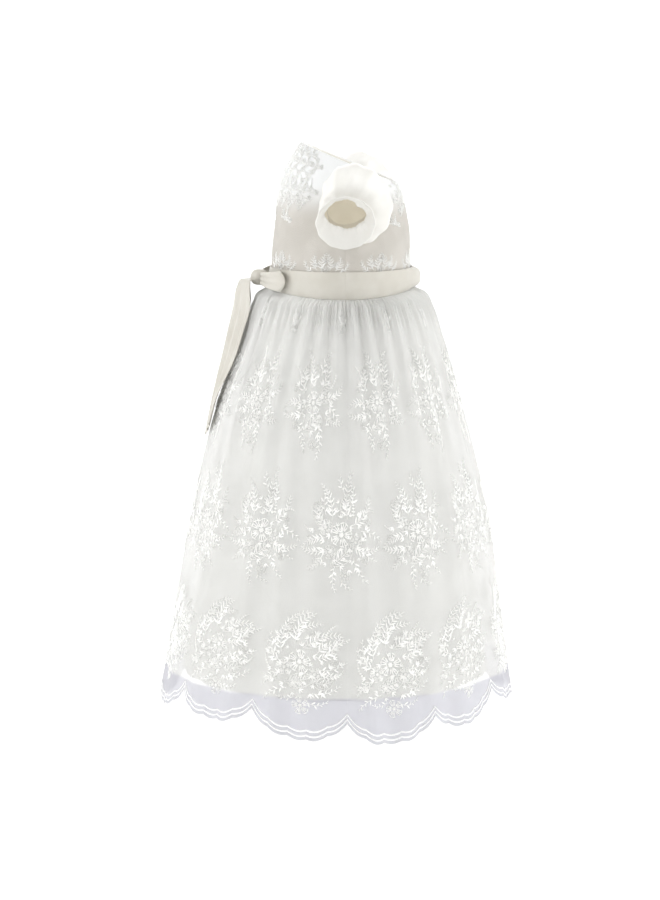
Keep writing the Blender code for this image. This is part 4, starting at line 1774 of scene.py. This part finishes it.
@dataclass
class Bow:
    """The sash bow at the back: a wrapped knot, two loops and two tails."""

    form: GownForm
    wall: float = 0.0008
    knot_behind: float = 0.0962
    knot_half: tuple[float, float, float] = (0.0098, 0.0102, 0.0090)
    knot_roundness: float = 0.7
    wraps: int = 4
    wrap_lean: float = 1.6
    wrap_depth: float = 0.035
    knot_grid: tuple[int, int] = (96, 48)
    loop_grid: tuple[int, int] = (90, 18)
    tail_grid: tuple[int, int] = (110, 36)

    def build(self, finishes: Finishes) -> None:
        """Builds the knot, and a loop and a tail on each side.

        Args:
            finishes: the gown's materials.

        Returns:
            Nothing.
        """
        self.knot(finishes)
        long, wide = self.loop_grid
        path, across = np.meshgrid(np.linspace(0, 1, long), np.linspace(-1, 1, wide))
        long, wide = self.tail_grid
        over, down = np.meshgrid(np.linspace(-1, 1, wide), np.linspace(0, 1, long))
        loop, tail = Cut(0.115, 0.026, 0.0024, "folded"), Cut(0.046, 0.225, 0.0080, "hung")
        kinds = (
            ("loop", self.form.loop, path, across, 1, loop),
            ("tail", self.form.tail, over, down, -1, tail),
        )
        for kind, surface, u, v, sign, cut in kinds:
            for side, facing, turned in (("right", surface, sign), ("left", mirrored(surface), -sign)):
                name = f"bow_{kind}_{side}"
                cloth = ClothPiece(f"{name}_satin", name, facing, turned, self.wall, "sash_satin", cut)
                piece = cloth.build(u, v, [finishes.sash])
                cloth.declare(piece, ["bow_knot"], [])

    def knot(self, finishes: Finishes) -> None:
        """The knot: a rounded drum whose skin is ribbed by the turns of the wrapped satin.

        Args:
            finishes: the gown's materials.

        Returns:
            Nothing.
        """
        around, rows = self.knot_grid
        angle = np.linspace(0, FULL, around, endpoint=False)[None, :]
        lean = np.linspace(-pi / 2, pi / 2, rows)[1:-1, None]
        ribs = 0.5 + 0.5 * np.sin(self.wraps * angle + self.wrap_lean * np.sin(2 * lean))
        ring = np.cos(lean) ** self.knot_roundness * (1 - self.wrap_depth * ribs**2)
        half_x, half_y, half_z = self.knot_half
        points = np.stack(
            np.broadcast_arrays(
                half_x * ring * np.cos(angle),
                self.knot_behind + half_y * ring * np.sin(angle),
                self.form.knot_height + half_z * np.sin(lean) + 0 * angle,
            ),
            axis=-1,
        )
        index = numbered(points, ring=True)
        poles = [[0, self.knot_behind, self.form.knot_height + half_z * end] for end in (-1, 1)]
        low, high = points[..., 0].size, points[..., 0].size + 1
        low_fan = [(int(index[0, i + 1]), int(index[0, i]), low) for i in range(around)]
        high_fan = [(int(index[-1, i]), int(index[-1, i + 1]), high) for i in range(around)]
        mesh_points = np.concatenate([points.reshape(-1, 3), poles])
        uv = np.concatenate([spacing(points).reshape(-1, 2), np.zeros((2, 2))])
        quads = grid_quads(index)
        mesh = bpy.data.meshes.new("bow_knot_satin")
        mesh.from_pydata(mesh_points.tolist(), [], [*quads.tolist(), *low_fan, *high_fan])
        layer = mesh.uv_layers.new(name="cloth")
        loops = np.empty(len(mesh.loops), np.int32)
        mesh.loops.foreach_get("vertex_index", loops)
        layer.data.foreach_set("uv", uv[loops].astype(np.float32).ravel())
        mesh.materials.append(finishes.sash)
        mesh.shade_smooth()
        piece = bpy.data.objects.new("bow_knot_satin", mesh)
        bpy.context.scene.collection.objects.link(piece)
        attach(piece, "root")
        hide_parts("bow_knot")


@dataclass
class Skirt:
    """The long skirt: an opaque lining under embroidered net with a corded, scalloped hem."""

    form: GownForm
    lining_wall: float = 0.0009
    net_columns: int = 330
    net_rows: int = 112
    lining_columns: int = 150
    lining_rows: int = 50
    row_crowding: float = 1.25
    flat_scallop: float = 0.106
    flat_length: float = 0.505
    hem_length: float = 1.27
    cord_steps: int = 90
    cord_lift: float = 0.0002
    cord_rise: float = 0.0007
    edge_cords: tuple[float, ...] = (0.0010, 0.0058, 0.0108)
    cord_width: float = 0.0017

    def build(self, finishes: Finishes) -> None:
        """Builds the lining and the net, each in two panels that meet at the side seams.

        Args:
            finishes: the gown's materials.

        Returns:
            Nothing.
        """
        stitched = self.dress(finishes)
        layers = (
            ("lining", self.form.lining, self.lining_wall, LINING, self.lining_columns, self.lining_rows,
             finishes.lining, Cut(0.58, 0.46, 0.205, "gathered")),
            ("net", self.form.net, 0.0, NET, self.net_columns, self.net_rows,
             finishes.net, Cut(0.66, 0.51, 0.285, "gathered")),
        )
        sides = (("front", 0.0, "waistband_front"), ("back", BACK, "waistband_back_right"))
        for layer, surface, wall, table, columns, rows, finish, cut in layers:
            for side, middle, hangs_from in sides:
                along = np.linspace(0, 1, rows) ** self.row_crowding
                half = SIDE - SEAM_GAP / 2 / table.at("side", along)
                turn = middle + half[:, None] * np.linspace(-1, 1, columns + 1)
                along = np.repeat(along[:, None], columns + 1, axis=1)
                node = f"skirt_{layer}_{side}"
                cloth = ClothPiece(f"{node}_cloth", node, surface, 1, wall, f"skirt_{layer}", cut)
                piece = cloth.build(turn, along, [finish])
                with_pieces = stitched if node == "skirt_net_front" else []
                cloth.declare(piece, [hangs_from], with_pieces)

    def down_to_along(self) -> Callable[[Array], Array]:
        """Turns a distance down the net into `along`: the length of the side line, reversed.

        Returns:
            The function.
        """
        along = np.linspace(0, 1.02, 400)
        line = self.form.net_uncut(np.full_like(along, SIDE), along)
        length = np.concatenate([[0], np.cumsum(np.linalg.norm(np.diff(line, axis=0), axis=1))])
        return lambda down: np.interp(down, length, along)

    def dress(self, finishes: Finishes) -> list:
        """Adds the rows of bouquets, the sprigs below the waist and the cords of the hem.

        Args:
            finishes: the gown's materials.

        Returns:
            The stitched pieces.
        """
        scallop = 360 / self.form.scallops
        stitching = Embroidery(self.form.net_uncut, 1, scallop / self.flat_scallop, self.down_to_along())
        even = tuple(scallop * (copy + 0.5) for copy in range(self.form.scallops))
        between = tuple(scallop * copy + 2 for copy in range(self.form.scallops))
        rows = {
            "embroidery_hem": [Placing(HEM_BOUQUET, even, down=0.410, scale=0.97)],
            "embroidery_middle": [Placing(MIDDLE_BOUQUET, between, down=0.264, scale=0.98)],
            "embroidery_upper": [
                Placing(UPPER_BOUQUET, even, down=0.120),
                Placing(SPRIG, between, down=0.036, scale=0.95),
            ],
        }
        pieces = [stitching.build(name, placings, finishes.thread) for name, placings in rows.items()]
        pieces.append(self.hem_cords(finishes))
        return pieces

    def hem_cords(self, finishes: Finishes) -> bpy.types.Object:
        """The hem's cords: half-round ribbons that follow the scallops, each higher than the last.

        Args:
            finishes: the gown's materials.

        Returns:
            The object.
        """
        turn = np.linspace(0, FULL, self.form.scallops * self.cord_steps, endpoint=False)[None, :]
        across = np.array([-1.0, -0.6, 0.0, 0.6, 1.0])[:, None]
        points, faces, count = [], [], 0
        for up in self.edge_cords:
            along = 1 - self.form.hem_rise(turn) - (up - across * self.cord_width / 2) / self.flat_length
            stand = self.cord_lift + self.cord_rise * np.sqrt(1 - across**2 + 1e-9) + 0 * turn
            grid = lifted(self.form.net_uncut, turn + 0 * across, along, stand)
            points.append(grid.reshape(-1, 3))
            faces.append(grid_quads(numbered(grid, ring=True, first=count)))
            count += len(points[-1])
        points, faces = np.concatenate(points), np.concatenate(faces)
        along_turn = np.tile(np.linspace(0, self.hem_length, turn.size), len(points) // turn.size)
        uv = np.stack([along_turn, np.zeros(len(points))], axis=-1)
        piece = add_piece("hem_cords", points, faces, uv, [finishes.cord], np.zeros(1))
        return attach(piece, "root")


@dataclass
class Studio:
    """A plain pale floor that sweeps up behind the gown, soft light, and the camera."""

    floor_height: float = -0.80
    floor_reach: float = 5.0
    floor_bend: float = 0.8
    floor_colour: Colour = (0.93, 0.93, 0.93)
    floor_roughness: float = 0.9
    floor_glow: float = 0.36
    world_strength: float = 0.38
    aim: tuple[float, float, float] = (0.0, 0.0155, -0.339)
    azimuth: float = -91.0
    elevation: float = 8.9
    distance: float = 3.05
    view_angle: float = 19.3

    def build(self) -> None:
        """Builds the stage and sets the camera.

        Returns:
            Nothing.
        """
        self.sweep()
        self.lights()
        self.camera()

    def sweep(self) -> None:
        """The floor and backdrop: a round floor whose edge curves up into a wall.

        Returns:
            Nothing.
        """
        turn = np.linspace(0, FULL, 96, endpoint=False)[None, :]
        bend = np.linspace(0, pi / 2, 16)
        flat, curve = self.floor_reach - self.floor_bend, self.floor_bend
        radius = [[0.0001, 1.0, 3.0], flat + curve * np.sin(bend), [self.floor_reach]]
        height = [[0, 0, 0], curve - curve * np.cos(bend), [self.floor_reach]]
        radius, height = (np.concatenate(steps)[:, None] for steps in (radius, height))
        points = np.stack(
            np.broadcast_arrays(
                radius * np.cos(turn), radius * np.sin(turn), self.floor_height + height + 0 * turn
            ),
            axis=-1,
        )
        index = numbered(points, ring=True)
        material = bpy.data.materials.new("pale floor")
        material.use_nodes = True
        shader = material.node_tree.nodes["Principled BSDF"]
        shader.inputs["Base Color"].default_value = (*self.floor_colour, 1)
        shader.inputs["Roughness"].default_value = self.floor_roughness
        shader.inputs["Emission Color"].default_value = (1, 1, 1, 1)
        shader.inputs["Emission Strength"].default_value = self.floor_glow
        uv = np.zeros((points[..., 0].size, 2))
        add_piece("floor", points, grid_quads(index), uv, [material], np.zeros(1))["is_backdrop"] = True

    def lights(self) -> None:
        """White light from all round, and soft panels on three sides and above.

        Returns:
            Nothing.
        """
        world = bpy.data.worlds.new("studio")
        world.use_nodes = True
        world.node_tree.nodes["Background"].inputs["Strength"].default_value = self.world_strength
        bpy.context.scene.world = world
        panels = (
            ("front", (-0.3, -2.7, 1.1), 1.8, 29),
            ("behind", (-0.2, 2.7, 1.0), 1.8, 24),
            ("above", (-0.5, 0.2, 2.8), 1.6, 40),
            ("far", (2.6, 0.0, 1.0), 1.8, 12),
        )
        for name, place, size, power in panels:
            data = bpy.data.lights.new(name, "AREA")
            data.shape, data.size, data.energy = "DISK", size, power
            lamp = bpy.data.objects.new(name, data)
            lamp.location = place
            lamp.rotation_euler = (Vector(self.aim) - Vector(place)).to_track_quat("-Z", "Y").to_euler()
            bpy.context.scene.collection.objects.link(lamp)

    def camera(self) -> None:
        """A camera at the photograph's angle: slightly behind the gown's right side, and above.

        Returns:
            Nothing.
        """
        data = bpy.data.cameras.new("camera")
        data.sensor_fit = "VERTICAL"
        data.sensor_height = 24.0
        data.lens = data.sensor_height / 2 / tan(radians(self.view_angle) / 2)
        turn, lift = radians(self.azimuth), radians(self.elevation)
        back = Vector((sin(turn) * cos(lift), -cos(turn) * cos(lift), sin(lift)))
        camera = bpy.data.objects.new("camera", data)
        camera.location = Vector(self.aim) + back * self.distance
        camera.rotation_euler = back.to_track_quat("Z", "Y").to_euler()
        bpy.context.scene.collection.objects.link(camera)
        bpy.context.scene.camera = camera
        view = bpy.context.scene.view_settings
        view.view_transform, view.look = "Standard", "None"


def main() -> None:
    """Returns:
        Nothing.
    """
    logging.basicConfig(level=logging.INFO, format="%(message)s")
    form = GownForm()
    finishes = Finishes.mixed()
    bodice = Bodice(form)
    bodice.build(finishes)
    bodice.dress(finishes)
    for part in (Sleeves(form), Waistband(form), Bow(form), Skirt(form)):
        part.build(finishes)
    Studio().build()
    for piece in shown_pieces():
        log.info("%s: %d faces", piece.name, len(piece.data.polygons))


if __name__ == "__main__":
    main()
